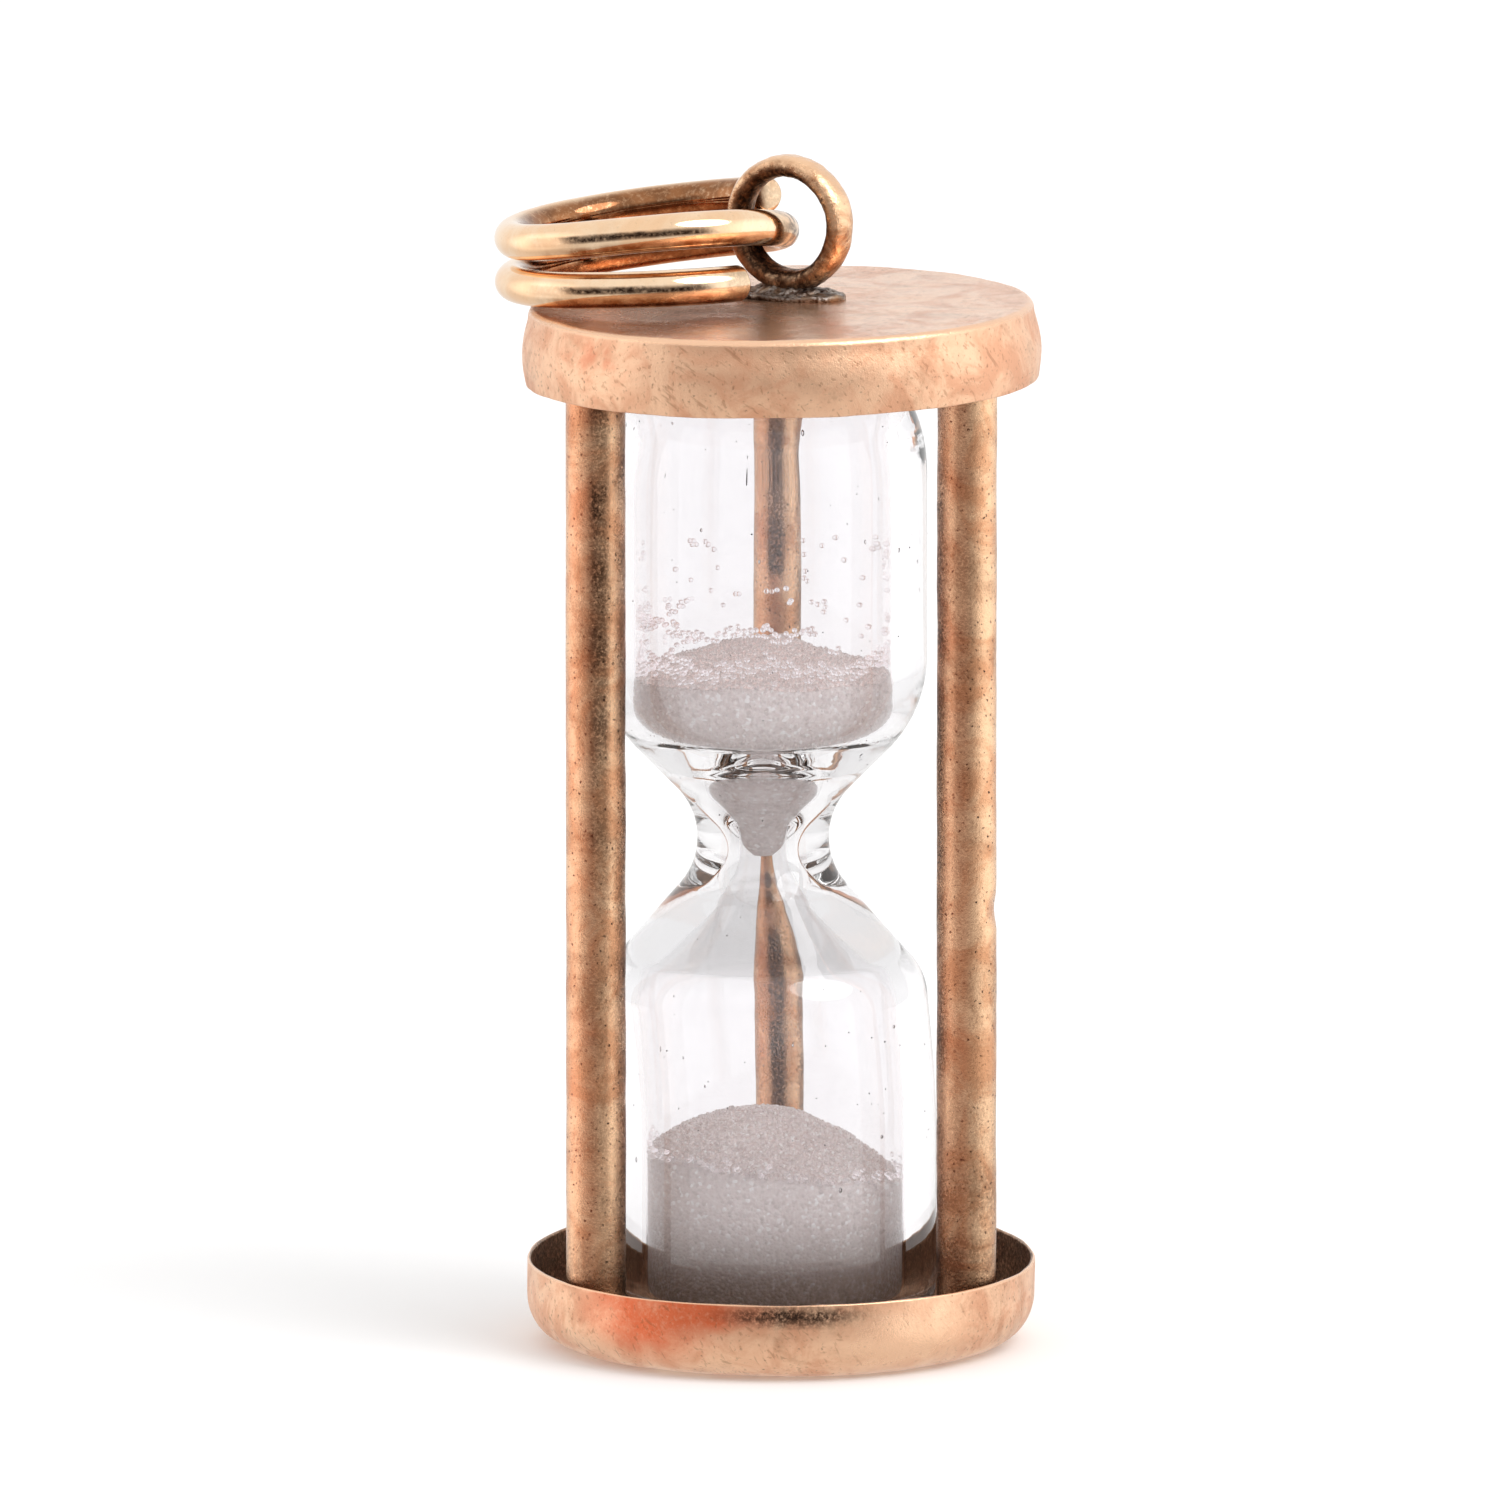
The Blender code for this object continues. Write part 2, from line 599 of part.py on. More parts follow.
def main():
    clear_scene()
    gold = new_material("gold", GOLD)
    polished = new_material("polished_gold", POLISHED_GOLD)
    solder = new_material("solder", SOLDER)
    glass = new_material("glass", GLASS, transmission=1.0)
    sand = new_material("sand", SAND)

    lid_place = Matrix.Translation((0.0, 0.0, BODY_HEIGHT)) @ Matrix.Rotation(-LID_TILT, 4, "Y")
    top = add_empty("lid_frame", lid_place)
    bail_place = Matrix.Translation((BAIL_X, BAIL_Y, BAIL_OUTER_RADIUS + BAIL_LIFT))
    bail_place = bail_place @ Matrix.Rotation(BAIL_YAW, 4, "Z")
    pivot = add_empty("bail_frame", bail_place, top)

    make_bottom_cap(gold)
    make_top_cap(gold, top)
    cup_space = cup_interior(gold)
    lid_space = lid_interior(gold, top)
    for name, angle in ROD_ANGLES.items():
        side = name.split("_")[1]
        make_rod(name, angle, gold)
        make_rod_solder(side, angle, solder, CUP_WALL, ROD_BOTTOM, cup_space, "lower")
        lid_top = lid_height_at(rod_place(angle)[0])
        make_rod_solder(side, angle, solder, lid_top - LID_PLATE,
                        lid_top - ROD_TOP_RECESS, lid_space, "upper")
    make_vial(glass)
    make_vial_seal(glass)
    make_sand_upper(sand)
    make_sand_lower(sand)
    make_bail(gold, solder, pivot)
    make_split_ring(polished, pivot)


main()
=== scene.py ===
"""Looks of the miniature hourglass charm: worn rose gold cage, glass vial, bead sand, split ring.

One finer piece stands for each CAD node. Loose beads and dust are added, and stand for none.
Lengths are metres, +Z is up and -Y is the front, as in the CAD model.
"""
import json
import math

import bpy
import numpy as np
from mathutils import Matrix, Vector, noise


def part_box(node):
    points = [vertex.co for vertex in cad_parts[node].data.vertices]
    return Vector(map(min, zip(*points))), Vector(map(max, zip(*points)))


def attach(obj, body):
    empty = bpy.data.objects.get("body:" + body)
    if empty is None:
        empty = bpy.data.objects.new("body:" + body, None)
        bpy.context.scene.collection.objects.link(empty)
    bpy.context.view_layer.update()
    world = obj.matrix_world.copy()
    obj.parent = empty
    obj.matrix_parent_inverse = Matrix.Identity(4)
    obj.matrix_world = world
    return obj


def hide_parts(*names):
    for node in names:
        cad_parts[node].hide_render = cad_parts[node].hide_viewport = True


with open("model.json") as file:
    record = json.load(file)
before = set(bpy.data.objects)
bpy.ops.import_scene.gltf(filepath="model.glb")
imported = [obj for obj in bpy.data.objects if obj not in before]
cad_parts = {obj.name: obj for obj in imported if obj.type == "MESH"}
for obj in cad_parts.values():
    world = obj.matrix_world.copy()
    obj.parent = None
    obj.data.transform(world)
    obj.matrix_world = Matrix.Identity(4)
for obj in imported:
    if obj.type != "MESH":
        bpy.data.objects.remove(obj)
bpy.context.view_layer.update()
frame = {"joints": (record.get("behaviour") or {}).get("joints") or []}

MM = 0.001
TURN = 2.0 * math.pi
DICE = np.random.default_rng(7)


def mm(*lengths):
    """Lengths given in millimetres, as a tuple in metres."""
    return tuple(length * MM for length in lengths)


# ---- places, from the frame
VIAL_LOW, VIAL_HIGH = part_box("vial")
SEAL_LOW, SEAL_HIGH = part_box("vial_seal")
SWING = frame["joints"][0]

CUP_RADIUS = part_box("bottom_cap")[1].x
CUP_HEIGHT = 1.87 * MM
CUP_BACK_RISE = 0.38 * MM
CUP_WALL = 0.15 * MM
CUP_CORNER = 1.12 * MM
CUP_LIP = 0.07 * MM

BODY_HEIGHT = 24.00 * MM
LID_TILT = math.radians(0.9)
LID_FRAME = Matrix.Translation((0.0, 0.0, BODY_HEIGHT)) @ Matrix.Rotation(-LID_TILT, 4, "Y")
LID_EDGE_RADIUS = 5.76 * MM
LID_BELLY_RADIUS = 5.93 * MM
LID_SKIRT_RADIUS = 5.86 * MM
LID_HEIGHT = 1.80 * MM
LID_PLATE = 0.26 * MM
LID_INNER_RADIUS = 5.68 * MM
LID_EDGE_ROUND = 0.20 * MM
LID_INNER_ROUND = 0.35 * MM
LID_LIP = 0.06 * MM
CAP_SIDES = 300
CAP_SPACING = 0.16 * MM

ROD_NAMES = ("rod_left", "rod_right", "rod_back")
ROD_RADIUS = 0.70 * MM
ROD_BEVEL = 0.08 * MM
# Dark band down each rod's front: its middle and half width across the rod, and its strength
# Each band is tarnish with a painted reflection of the dark wall in front; the back rod's is
# painted reflection only
TARNISH_AND_REFLECTION_BANDS = {"rod_left": (0.08 * MM, 0.34 * MM, 0.80),
                 "rod_right": (-0.06 * MM, 0.30 * MM, 0.36),
                 "rod_back": (-0.06 * MM, 0.34 * MM, 1.0)}
# The burn at each rod's foot: how high it reaches, and its strength
ROD_FEET = {"rod_left": (3.2 * MM, 0.9), "rod_right": (9.0 * MM, 0.75),
            "rod_back": (3.2 * MM, 0.75)}

SOLDER_SPREAD = 1.13 * MM

VIAL_BOTTOM = VIAL_LOW.z
VIAL_TOP = VIAL_HIGH.z
UPPER_BULB_RADIUS = 3.74 * MM
LOWER_BULB_RADIUS = 3.69 * MM
UPPER_BORE_RADIUS = 2.94 * MM
LOWER_BORE_RADIUS = 2.95 * MM
CROWN_HEIGHT = 3.30 * MM
CROWN_POWER = 2.3
CROWN_WALL = 0.80 * MM
FOOT_HEIGHT = 1.30 * MM
FOOT_POWER = 3.2
FOOT_WALL = 0.45 * MM
BORE_CROWN_HEIGHT = 1.60 * MM
BORE_CROWN_POWER = 2.6
BORE_FOOT_HEIGHT = 0.95 * MM
UPPER_SHOULDER_Z = 14.62 * MM
LOWER_SHOULDER_Z = 8.52 * MM
UPPER_SHOULDER_ROUND = 3.00 * MM
LOWER_SHOULDER_ROUND = 1.30 * MM
NECK_Z = 11.73 * MM
NECK_CONE_RADIUS = 0.895 * MM
NECK_ROUND = 1.68 * MM
BORE_LOWER_SHOULDER = (LOWER_BORE_RADIUS, 8.40 * MM, 1.10 * MM)
BORE_LOWER_THROAT = mm(0.95, 10.10, 1.20)
BORE_NECK = mm(0.36, 11.50, 1.60)
BORE_UPPER_THROAT = mm(1.42, 13.45, 1.60)
BORE_UPPER_SHOULDER = (UPPER_BORE_RADIUS, 14.50 * MM, 1.10 * MM)
FILL_HOLE_RADIUS = 0.34 * MM
UPPER_BULB_OFFSET = -0.41 * MM
LOWER_BULB_OFFSET = -0.14 * MM
BEND_START_Z = 5.0 * MM
BEND_END_Z = 9.5 * MM

BEAD_RADIUS = 0.048 * MM
STUCK_RADIUS = 0.062 * MM
SAND_GAP = 0.045 * MM
UPPER_SAND_EDGE_Z = 15.55 * MM
UPPER_SAND_MOUND = 0.70 * MM
SAND_COLUMN_END_Z = 11.20 * MM
LOWER_SAND_EDGE_Z = 3.90 * MM
LOWER_SAND_HEAP = 1.45 * MM
LOWER_SAND_SLOPE = 0.03
LOWER_HEAP_SHIFT = -0.35 * MM
LOWER_HEAP_RADIUS = 3.35 * MM

BAIL_OUTER_RADIUS = 1.60 * MM
BAIL_THICKNESS = 0.56 * MM
BAIL_WIDTH = 0.86 * MM
BAIL_SQUARENESS = 2.3
BAIL_SOLDER_LENGTH = 1.40 * MM
BAIL_SOLDER_WIDTH = 0.85 * MM

RING_RADIUS = 3.06 * MM
RING_WIRE_RADIUS = 0.425 * MM
RING_PITCH = 1.00 * MM
RING_TURNS = 1.80
RING_START = math.radians(-46.0)
RING_PLACE = Vector((-3.04, 1.06, 0.28)) * MM
RING_SPREAD = 0.30 * MM
RING_SPREAD_AT = 1.06
RING_SPREAD_REACH = 0.30
RING_END_PRESS = 0.08 * MM
RING_END_STRETCH = 0.30
RING_RISE_RIGHT = 0.240 * MM
RING_RISE_FRONT = 0.240 * MM

# How an open wire end is rounded: how much thinner, and how far out in wire radii
END_NARROWING = 0.32
END_BULGE = 0.24
END_REACH = 0.25
ON_AXIS = 1e-7

# ---- painted marks: each one's middle, and how far it reaches along X, Y and Z
# A painted highlight on the cup's right front, where the light falls
CUP_LIT_SIDE = (mm(3.0, -5.1, 0.9), mm(2.6, 2.6, 1.3))
CUP_FLUSH = (mm(-3.1, -4.9, 1.45), mm(2.4, 2.6, 1.50))
CUP_FLUSH_TAIL = (mm(-1.4, -5.6, 1.60), mm(1.7, 1.5, 0.5))
CUP_SOOT = (mm(0.3, -5.8, 1.58), mm(2.5, 2.0, 0.36))
LID_STREAKS = (mm(-4.2, -4.2, 23.3), mm(1.6, 2.2, 0.7))
LID_SOOT = (mm(-0.3, 0.80, 0.0), mm(2.1, 1.3, 0.6))
# A painted reflection: the lid's top, to the front and left, is painted browner
LID_TOP_REFLECTION = (mm(-1.9, -1.0, 0.0), mm(4.6, 4.2, 0.5))

# ---- colours (linear)
GOLD_CLEAN = (0.93, 0.60, 0.37)
GOLD_WORN = (0.72, 0.37, 0.20)
GOLD_DARK = (0.24, 0.095, 0.038)
CAP_CLEAN = (0.91, 0.575, 0.375)
CAP_WORN = (0.77, 0.415, 0.255)
RING_REFLECTED_BROWN = (0.30, 0.115, 0.042)
GOLD_FLUSH = (0.74, 0.17, 0.07)
DARK_BURN_AND_SHADE = (0.045, 0.022, 0.013)
BAIL_WORN = (0.46, 0.20, 0.09)
RING_CLEAN = (0.97, 0.73, 0.50)
RING_WORN = (0.93, 0.62, 0.38)
SOLDER_HOLLOW = (0.10, 0.06, 0.04)
SOLDER_GREY = (0.66, 0.60, 0.55)
SOLDER_BROWN = (0.40, 0.27, 0.18)
GLASS_CLEAR = (0.925, 0.914, 0.926)
GLASS_HAZE = (0.900, 0.888, 0.902)
GLASS_WAIST_SHADE = (0.815, 0.808, 0.815)
SAND_GREY = (0.76, 0.67, 0.65)
SAND_LIGHT = (0.90, 0.84, 0.82)
SAND_CLOUD = (0.72, 0.63, 0.61)
SAND_DARK_BEAD = (0.44, 0.38, 0.36)
SAND_BRIGHT_BEAD = (1.0, 0.99, 0.98)
SAND_SHADE_BROWN = (0.17, 0.115, 0.085)
SAND_GLOW = (0.80, 0.69, 0.67)
SAND_SHADE_GLOW = (0.16, 0.11, 0.08)
BEAD_CLEAR = (0.92, 0.90, 0.91)
BEAD_DULL = (0.83, 0.80, 0.81)
BEAD_GLOW = (1.0, 0.98, 0.98)
DUST_DARK = (0.05, 0.045, 0.045)
DUST_LIGHT = (0.20, 0.18, 0.18)
FLOOR_GREY = (0.86, 0.86, 0.86)
TENT_LOW = (0.86, 0.84, 0.82)
TENT_WALL = (0.50, 0.45, 0.425)
TENT_OPENING = (0.20, 0.18, 0.17)
WHITE = (1.0, 1.0, 1.0)

GLASS_IOR = 1.5
SAND_GLOW_STRENGTH = (0.14, 0.26)
BEAD_GLOW_STRENGTH = 0.06
FLOOR_GLOW_STRENGTH = 0.10
SCRATCH_TURNS = ((0.5, 0.9, 0.3), (-0.6, 0.4, 1.2))


# ---- node trees
class Tree:
    """Short calls for building a node tree."""

    def __init__(self, owner):
        owner.use_nodes = True
        self.owner = owner
        self.tree = owner.node_tree
        self.nodes = owner.node_tree.nodes

    def feed(self, socket, value):
        if isinstance(value, bpy.types.NodeSocket):
            self.tree.links.new(value, socket)
        elif isinstance(value, (tuple, list)) and len(socket.default_value) == 4:
            socket.default_value = (*value[:3], 1.0)
        else:
            socket.default_value = value

    def add(self, kind, inputs, **settings):
        node = self.nodes.new("ShaderNode" + kind)
        for name, value in settings.items():
            setattr(node, name, value)
        for name, value in inputs.items():
            self.feed(node.inputs[name], value)
        return node

    def place(self, scale=(1.0, 1.0, 1.0), turn=(0.0, 0.0, 0.0)):
        """Object coordinates in millimetres, turned and then stretched by scale."""
        source = self.add("TexCoord", {}).outputs["Object"]
        turned = self.add("Mapping", {"Vector": source, "Rotation": turn}).outputs["Vector"]
        size = [1000.0 * share for share in scale]
        return self.add("Mapping", {"Vector": turned, "Scale": size}).outputs["Vector"]

    def noise(self, where, scale, detail=4.0, roughness=0.55, distortion=0.0):
        inputs = {"Vector": where, "Scale": scale, "Detail": detail,
                  "Roughness": roughness, "Distortion": distortion}
        return self.add("TexNoise", inputs).outputs["Fac"]

    def step(self, value, low, high, out_low=0.0, out_high=1.0):
        """Smooth step of value from low to high."""
        inputs = {"Value": value, "From Min": low, "From Max": high,
                  "To Min": out_low, "To Max": out_high}
        node = self.add("MapRange", inputs, interpolation_type="SMOOTHSTEP")
        return node.outputs["Result"]

    def maths(self, operation, first, second=0.0, clamp=False):
        inputs = {0: first, 1: second}
        return self.add("Math", inputs, operation=operation, use_clamp=clamp).outputs[0]

    def times(self, first, second, clamp=False):
        return self.maths("MULTIPLY", first, second, clamp)

    def blend(self, share, first, second, kind="MIX"):
        node = self.add("Mix", {}, data_type="RGBA", blend_type=kind)
        self.feed(node.inputs[0], share)
        self.feed(node.inputs[6], first)
        self.feed(node.inputs[7], second)
        return node.outputs[2]

    def painted(self, name):
        return self.add("Attribute", {}, attribute_name=name).outputs["Fac"]

    def bump(self, height, distance, strength=1.0, normal=None):
        inputs = {"Height": height, "Distance": distance, "Strength": strength}
        if normal is not None:
            inputs["Normal"] = normal
        return self.add("Bump", inputs).outputs["Normal"]

    def layers(self, colour, *coats):
        """Lay (share, colour) coats over a colour, one after another."""
        for share, coat in coats:
            colour = self.blend(share, colour, coat)
        return colour

    def dress(self, inputs):
        """Feed the Principled shader's own sockets, and return the material."""
        shader = self.nodes["Principled BSDF"]
        for name, value in inputs.items():
            self.feed(shader.inputs[name], value)
        return self.owner


def material_tree(name):
    return Tree(bpy.data.materials.new(name))


def worn_gold(name, clean, worn, mottle, roughness, grain_depth, tarnish=0.5, pitting=0.5,
              scratch=0.0, flush_and_reflection_colour=GOLD_FLUSH, speckle=8.0, metallic=1.0, polished=0.12):
    """Satin or polished gold: cloudy wear, dark pits, scratches, burns, painted shade and painted
    reflections.
    """
    tree = material_tree(name)
    here = tree.place()
    clouds = tree.noise(here, mottle, 8.0, 0.66, 0.8)
    patches = tree.noise(here, mottle * 0.40, 5.0, 0.6, 1.5)
    specks = tree.noise(here, speckle, 4.0, 0.75)
    grain = tree.noise(here, 26.0, 2.0, 0.6)
    cells = tree.add("TexVoronoi", {"Vector": here, "Scale": 6.5}).outputs
    pit = tree.times(tree.step(cells["Distance"], 0.30, 0.12), tree.step(specks, 0.47, 0.60))
    tarnished = tree.times(tree.step(patches, 0.48, 0.68), tarnish)
    tarnished = tree.times(tarnished, tree.step(specks, 0.30, 0.62, 0.45, 1.0))
    spotted = tree.times(tree.step(specks, 0.56, 0.72), 0.5 * pitting)
    # A painted red flush on most pieces; on the ring it is a painted reflection of the gold about
    # it
    flush_and_reflection = tree.times(tree.painted("flush_and_reflection"), tree.step(specks, 0.25, 0.55, 0.6, 1.0))
    scratches = []
    if scratch > 0.0:
        for turn in SCRATCH_TURNS:
            lines = tree.noise(tree.place((1.0, 1.0, 0.16), turn), 9.0, 2.0, 0.5)
            scratches.append(tree.step(lines, 0.62, 0.72))
    edge = tree.painted("edge")
    # Painted darkening: burns and soot on some pieces, painted shade and painted reflections on
    # others
    burn = tree.times(tree.painted("burn"), tree.step(specks, 0.22, 0.58), True)
    coats = [(tree.step(clouds, 0.40, 0.62), worn), (tarnished, GOLD_DARK),
             (spotted, GOLD_DARK), (tree.times(pit, pitting), DARK_BURN_AND_SHADE), (flush_and_reflection, flush_and_reflection_colour)]
    coats += [(tree.times(lines, 0.8 * pitting), GOLD_DARK) for lines in scratches]
    coats += [(edge, clean), (burn, DARK_BURN_AND_SHADE)]

    rough = tree.step(clouds, 0.35, 0.70, *roughness)
    for dull in (spotted, burn):
        rough = tree.maths("ADD", rough, tree.times(dull, 0.25))
    polish = tree.maths("MAXIMUM", edge, tree.painted("polish"))
    rough = tree.maths("SUBTRACT", rough, tree.times(polish, polished), True)

    normal = tree.bump(specks, grain_depth)
    normal = tree.bump(grain, grain_depth * 0.3, 1.0, normal)
    normal = tree.bump(pit, -grain_depth * 0.4, 1.0, normal)
    for lines in scratches:
        normal = tree.bump(lines, -scratch * 0.5, 1.0, normal)
    return tree.dress({"Base Color": tree.layers(clean, *coats), "Roughness": rough,
                       "Metallic": metallic, "Normal": normal})


def solder_metal():
    """Dull grey-brown solder, grainy, with dark flux left in its hollows."""
    tree = material_tree("solder")
    here = tree.place()
    grains = tree.noise(here, 9.0, 5.0, 0.7)
    clouds = tree.noise(here, 2.2, 4.0, 0.6)
    colour = tree.layers(SOLDER_HOLLOW, (tree.step(grains, 0.40, 0.62), SOLDER_GREY),
                         (tree.step(clouds, 0.45, 0.65), SOLDER_BROWN),
                         (tree.painted("burn"), DARK_BURN_AND_SHADE))
    return tree.dress({"Base Color": colour, "Metallic": 1.0,
                       "Roughness": tree.step(grains, 0.30, 0.70, 0.30, 0.55),
                       "Normal": tree.bump(grains, 0.03 * MM)})


def vial_glass():
    """Clear lamp-worked glass with faint drawn ripples, and a darker painted shade about its
    waist.
    """
    tree = material_tree("glass")
    ripples = tree.noise(tree.place((1.0, 1.0, 0.12)), 1.1, 2.0, 0.5)
    haze = tree.noise(tree.place(), 2.5, 4.0, 0.6)
    colour = tree.layers(GLASS_CLEAR, (tree.step(haze, 0.45, 0.75), GLASS_HAZE),
                         (tree.painted("burn"), GLASS_WAIST_SHADE))
    return tree.dress({"Base Color": colour, "Transmission Weight": 1.0, "IOR": GLASS_IOR,
                       "Roughness": 0.0, "Normal": tree.bump(ripples, 0.004 * MM)})


def bead_sand():
    """Packed fine glass beads: pinkish grey, with grain finer than the modelled beads.

    Its weak glow stands for the light that real clear beads scatter between them.
    """
    tree = material_tree("sand")
    here = tree.place()
    cells = tree.add("TexVoronoi", {"Vector": here, "Scale": 13.0, "Randomness": 0.9}).outputs
    grains = tree.noise(here, 9.0, 3.0, 0.6)
    clouds = tree.noise(here, 0.9, 3.0, 0.5)
    lone = tree.add("SeparateXYZ", {"Vector": cells["Color"]}).outputs
    # Painted shade: where painted, the sand turns dark brown and glows less
    deep_shade = tree.times(tree.painted("burn"), tree.step(grains, 0.30, 0.60, 0.85, 1.0))
    colour = tree.layers(SAND_GREY, (tree.step(grains, 0.35, 0.70), SAND_LIGHT),
                         (tree.step(clouds, 0.35, 0.75, 0.0, 0.5), SAND_CLOUD),
                         (tree.step(lone["X"], 0.72, 0.95, 0.0, 0.30), SAND_DARK_BEAD),
                         (tree.step(lone["Y"], 0.86, 0.97, 0.0, 0.85), SAND_BRIGHT_BEAD),
                         (deep_shade, SAND_SHADE_BROWN))
    # Painted light: the sand glows more where painted, on the upper heap's top, against the lid's
    # shade
    glow = tree.step(tree.painted("lift"), 0.0, 1.0, *SAND_GLOW_STRENGTH)
    return tree.dress({"Base Color": colour, "IOR": GLASS_IOR,
                       "Roughness": tree.step(grains, 0.3, 0.7, 0.35, 0.65),
                       "Emission Color": tree.blend(deep_shade, SAND_GLOW, SAND_SHADE_GLOW),
                       "Emission Strength": glow,
                       "Normal": tree.bump(cells["Distance"], -0.03 * MM, 0.8)})


def clear_bead():
    """Single clear beads that stick to the glass."""
    tree = material_tree("clear_bead")
    tone = tree.step(tree.noise(tree.place(), 3.0, 2.0, 0.5), 0.35, 0.65)
    # Their weak white glow is painted light that brightens them
    return tree.dress({"Base Color": tree.blend(tone, BEAD_CLEAR, BEAD_DULL),
                       "Transmission Weight": 1.0, "IOR": GLASS_IOR, "Roughness": 0.02,
                       "Emission Color": BEAD_GLOW, "Emission Strength": BEAD_GLOW_STRENGTH})


def dust():
    tree = material_tree("dust")
    tone = tree.noise(tree.place(), 5.0, 2.0, 0.5)
    colour = tree.blend(tree.step(tone, 0.4, 0.6), DUST_DARK, DUST_LIGHT)
    return tree.dress({"Base Color": colour, "Roughness": tree.step(tone, 0.3, 0.7, 0.5, 0.8)})


# ---- meshes
def put(name, data):
    """A new object in the scene."""
    thing = bpy.data.objects.new(name, data)
    bpy.context.scene.collection.objects.link(thing)
    return thing


def new_piece(name, verts, faces, material, body, slot, *nodes):
    """A smooth-shaded mesh object that rides on a body and stands for CAD nodes."""
    mesh = bpy.data.meshes.new(name)
    mesh.from_pydata(np.asarray(verts).tolist(), [], faces)
    mesh.validate()
    mesh.materials.append(material)
    mesh.shade_smooth()
    piece = put(name, mesh)
    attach(piece, body)
    if nodes:
        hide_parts(*nodes)
    return piece


def vectors(items, name):
    flat = np.zeros(len(items) * 3)
    items.foreach_get(name, flat)
    return flat.reshape(-1, 3)


def points_of(piece):
    return vectors(piece.data.vertices, "co")


def move_points(piece, points):
    piece.data.vertices.foreach_set("co", np.asarray(points, dtype=float).ravel())
    piece.data.update()


def paint(piece, name, values):
    """Store a 0 to 1 value at each point, which the material reads."""
    attribute = piece.data.attributes.new(name, "FLOAT", "POINT")
    attribute.data.foreach_set("value", np.clip(values, 0.0, 1.0).astype(np.float32))


def clouds_at(points, scale, seed=0.0, octaves=3):
    """Fractal noise from about 0 to 1 at each point. scale is the size of one cloud."""
    shift = Vector((seed * 7.31, seed * 3.77, seed * 5.13))
    values = []
    for point in points:
        place = Vector(point) / scale + shift
        values.append(noise.fractal(place, 1.0, 2.0, octaves))
    return np.clip(0.5 + 0.5 * np.array(values), 0.0, 1.0)


def smooth_step(values, low, high):
    share = np.clip((values - low) / (high - low), 0.0, 1.0)
    return share * share * (3.0 - 2.0 * share)


def fade(values, low, high):
    """1 up to low, falling smoothly to 0 at high."""
    return 1.0 - smooth_step(values, low, high)


def band_at(values, middle, full, zero):
    """1 within full of the middle, falling smoothly to 0 at zero from it."""
    return fade(np.abs(values - middle), full, zero)


def near(points, centre, reach):
    """1 at centre, falling smoothly to 0 at reach. reach may be three numbers."""
    offset = (points - np.array(centre)) / np.array(reach)
    return fade(np.linalg.norm(offset, axis=1), 0.2, 1.0)


def roughen(piece, *layers):
    """Sink the surface unevenly. It never grows.

    Each layer is its depth and the size of its clouds, both in millimetres, then its seed, and
    its octaves where they aren't three.
    """
    for depth, size, *seeding in layers:
        points = points_of(piece)
        sunk = clouds_at(points, size * MM, *seeding)
        inward = vectors(piece.data.vertex_normals, "vector")
        move_points(piece, points - inward * (depth * MM * sunk)[:, None])


def arc_corner(before, here, after, rounding, step):
    """Points of the arc that rounds a corner between two straight runs."""
    back = (Vector(before) - here).normalized()
    ahead = (Vector(after) - here).normalized()
    opening = back.angle(ahead)
    reach = rounding / math.tan(opening / 2.0)
    centre = here + (back + ahead).normalized() * rounding / math.sin(opening / 2.0)
    start = here + back * reach - centre
    turn = start.angle_signed(here + ahead * reach - centre)
    count = max(3, round((math.pi - opening) / step))
    points = []
    for number in range(count + 1):
        arm = start.copy()
        arm.rotate(Matrix.Rotation(-turn * number / count, 2))
        points.append(centre + arm)
    return points


def rounded_outline(corners, step=math.radians(6.0)):
    """Turn (r, z, rounding) corners into points, with an arc at each rounded corner."""
    points = []
    for index, (r, z, rounding) in enumerate(corners):
        here = Vector((r, z))
        if rounding <= 0.0:
            points.append(here)
        else:
            points += arc_corner(corners[index - 1][:2], here, corners[index + 1][:2],
                                 rounding, step)
    return [(point.x, point.y) for point in points]


def evenly(outline, spacing):
    """Add points along an outline's long runs, so that none is longer than spacing."""
    points = [outline[0]]
    for (r0, z0), (r1, z1) in zip(outline, outline[1:]):
        count = max(1, math.ceil(math.hypot(r1 - r0, z1 - z0) / spacing))
        for number in range(1, count + 1):
            share = number / count
            points.append((r0 + (r1 - r0) * share, z0 + (z1 - z0) * share))
    return points


def straight(_height):
    return 0.0


def vial_axis(z):
    """Sideways offset of the vial's axis: the two bulbs aren't quite in line."""
    share = min(1.0, max(0.0, (z - BEND_START_Z) / (BEND_END_Z - BEND_START_Z)))
    smooth = share * share * (3.0 - 2.0 * share)
    return LOWER_BULB_OFFSET + (UPPER_BULB_OFFSET - LOWER_BULB_OFFSET) * smooth


def bridge(first, after, sides, flip=False):
    """Faces between two loops of points, which start at first and at after."""
    faces = []
    for number in range(sides):
        turned = (number + 1) % sides
        face = (first + number, first + turned, after + turned, after + number)
        faces.append(face[::-1] if flip else face)
    return faces


def fan(first, tip, sides, flip=False):
    """Faces between a loop of points, which starts at first, and one point."""
    faces = []
    for number in range(sides):
        face = (first + number, first + (number + 1) % sides, tip)
        faces.append(face[::-1] if flip else face)
    return faces


def lathe(outline, segments, axis=straight):
    """Points and faces of an (r, z) outline turned about +Z, from axis to axis."""
    verts = []
    rings = []
    for r, z in outline:
        count = segments if r > ON_AXIS else 1
        rings.append((len(verts), count))
        for number in range(count):
            angle = TURN * number / segments
            verts.append((axis(z) + r * math.cos(angle), r * math.sin(angle), z))
    faces = []
    for (first, count), (after, next_count) in zip(rings, rings[1:]):
        if count > 1 and next_count > 1:
            faces += bridge(first, after, segments)
        elif count > 1:
            faces += fan(first, after, segments)
        elif next_count > 1:
            faces += fan(after, first, segments, True)
    return np.array(verts), faces


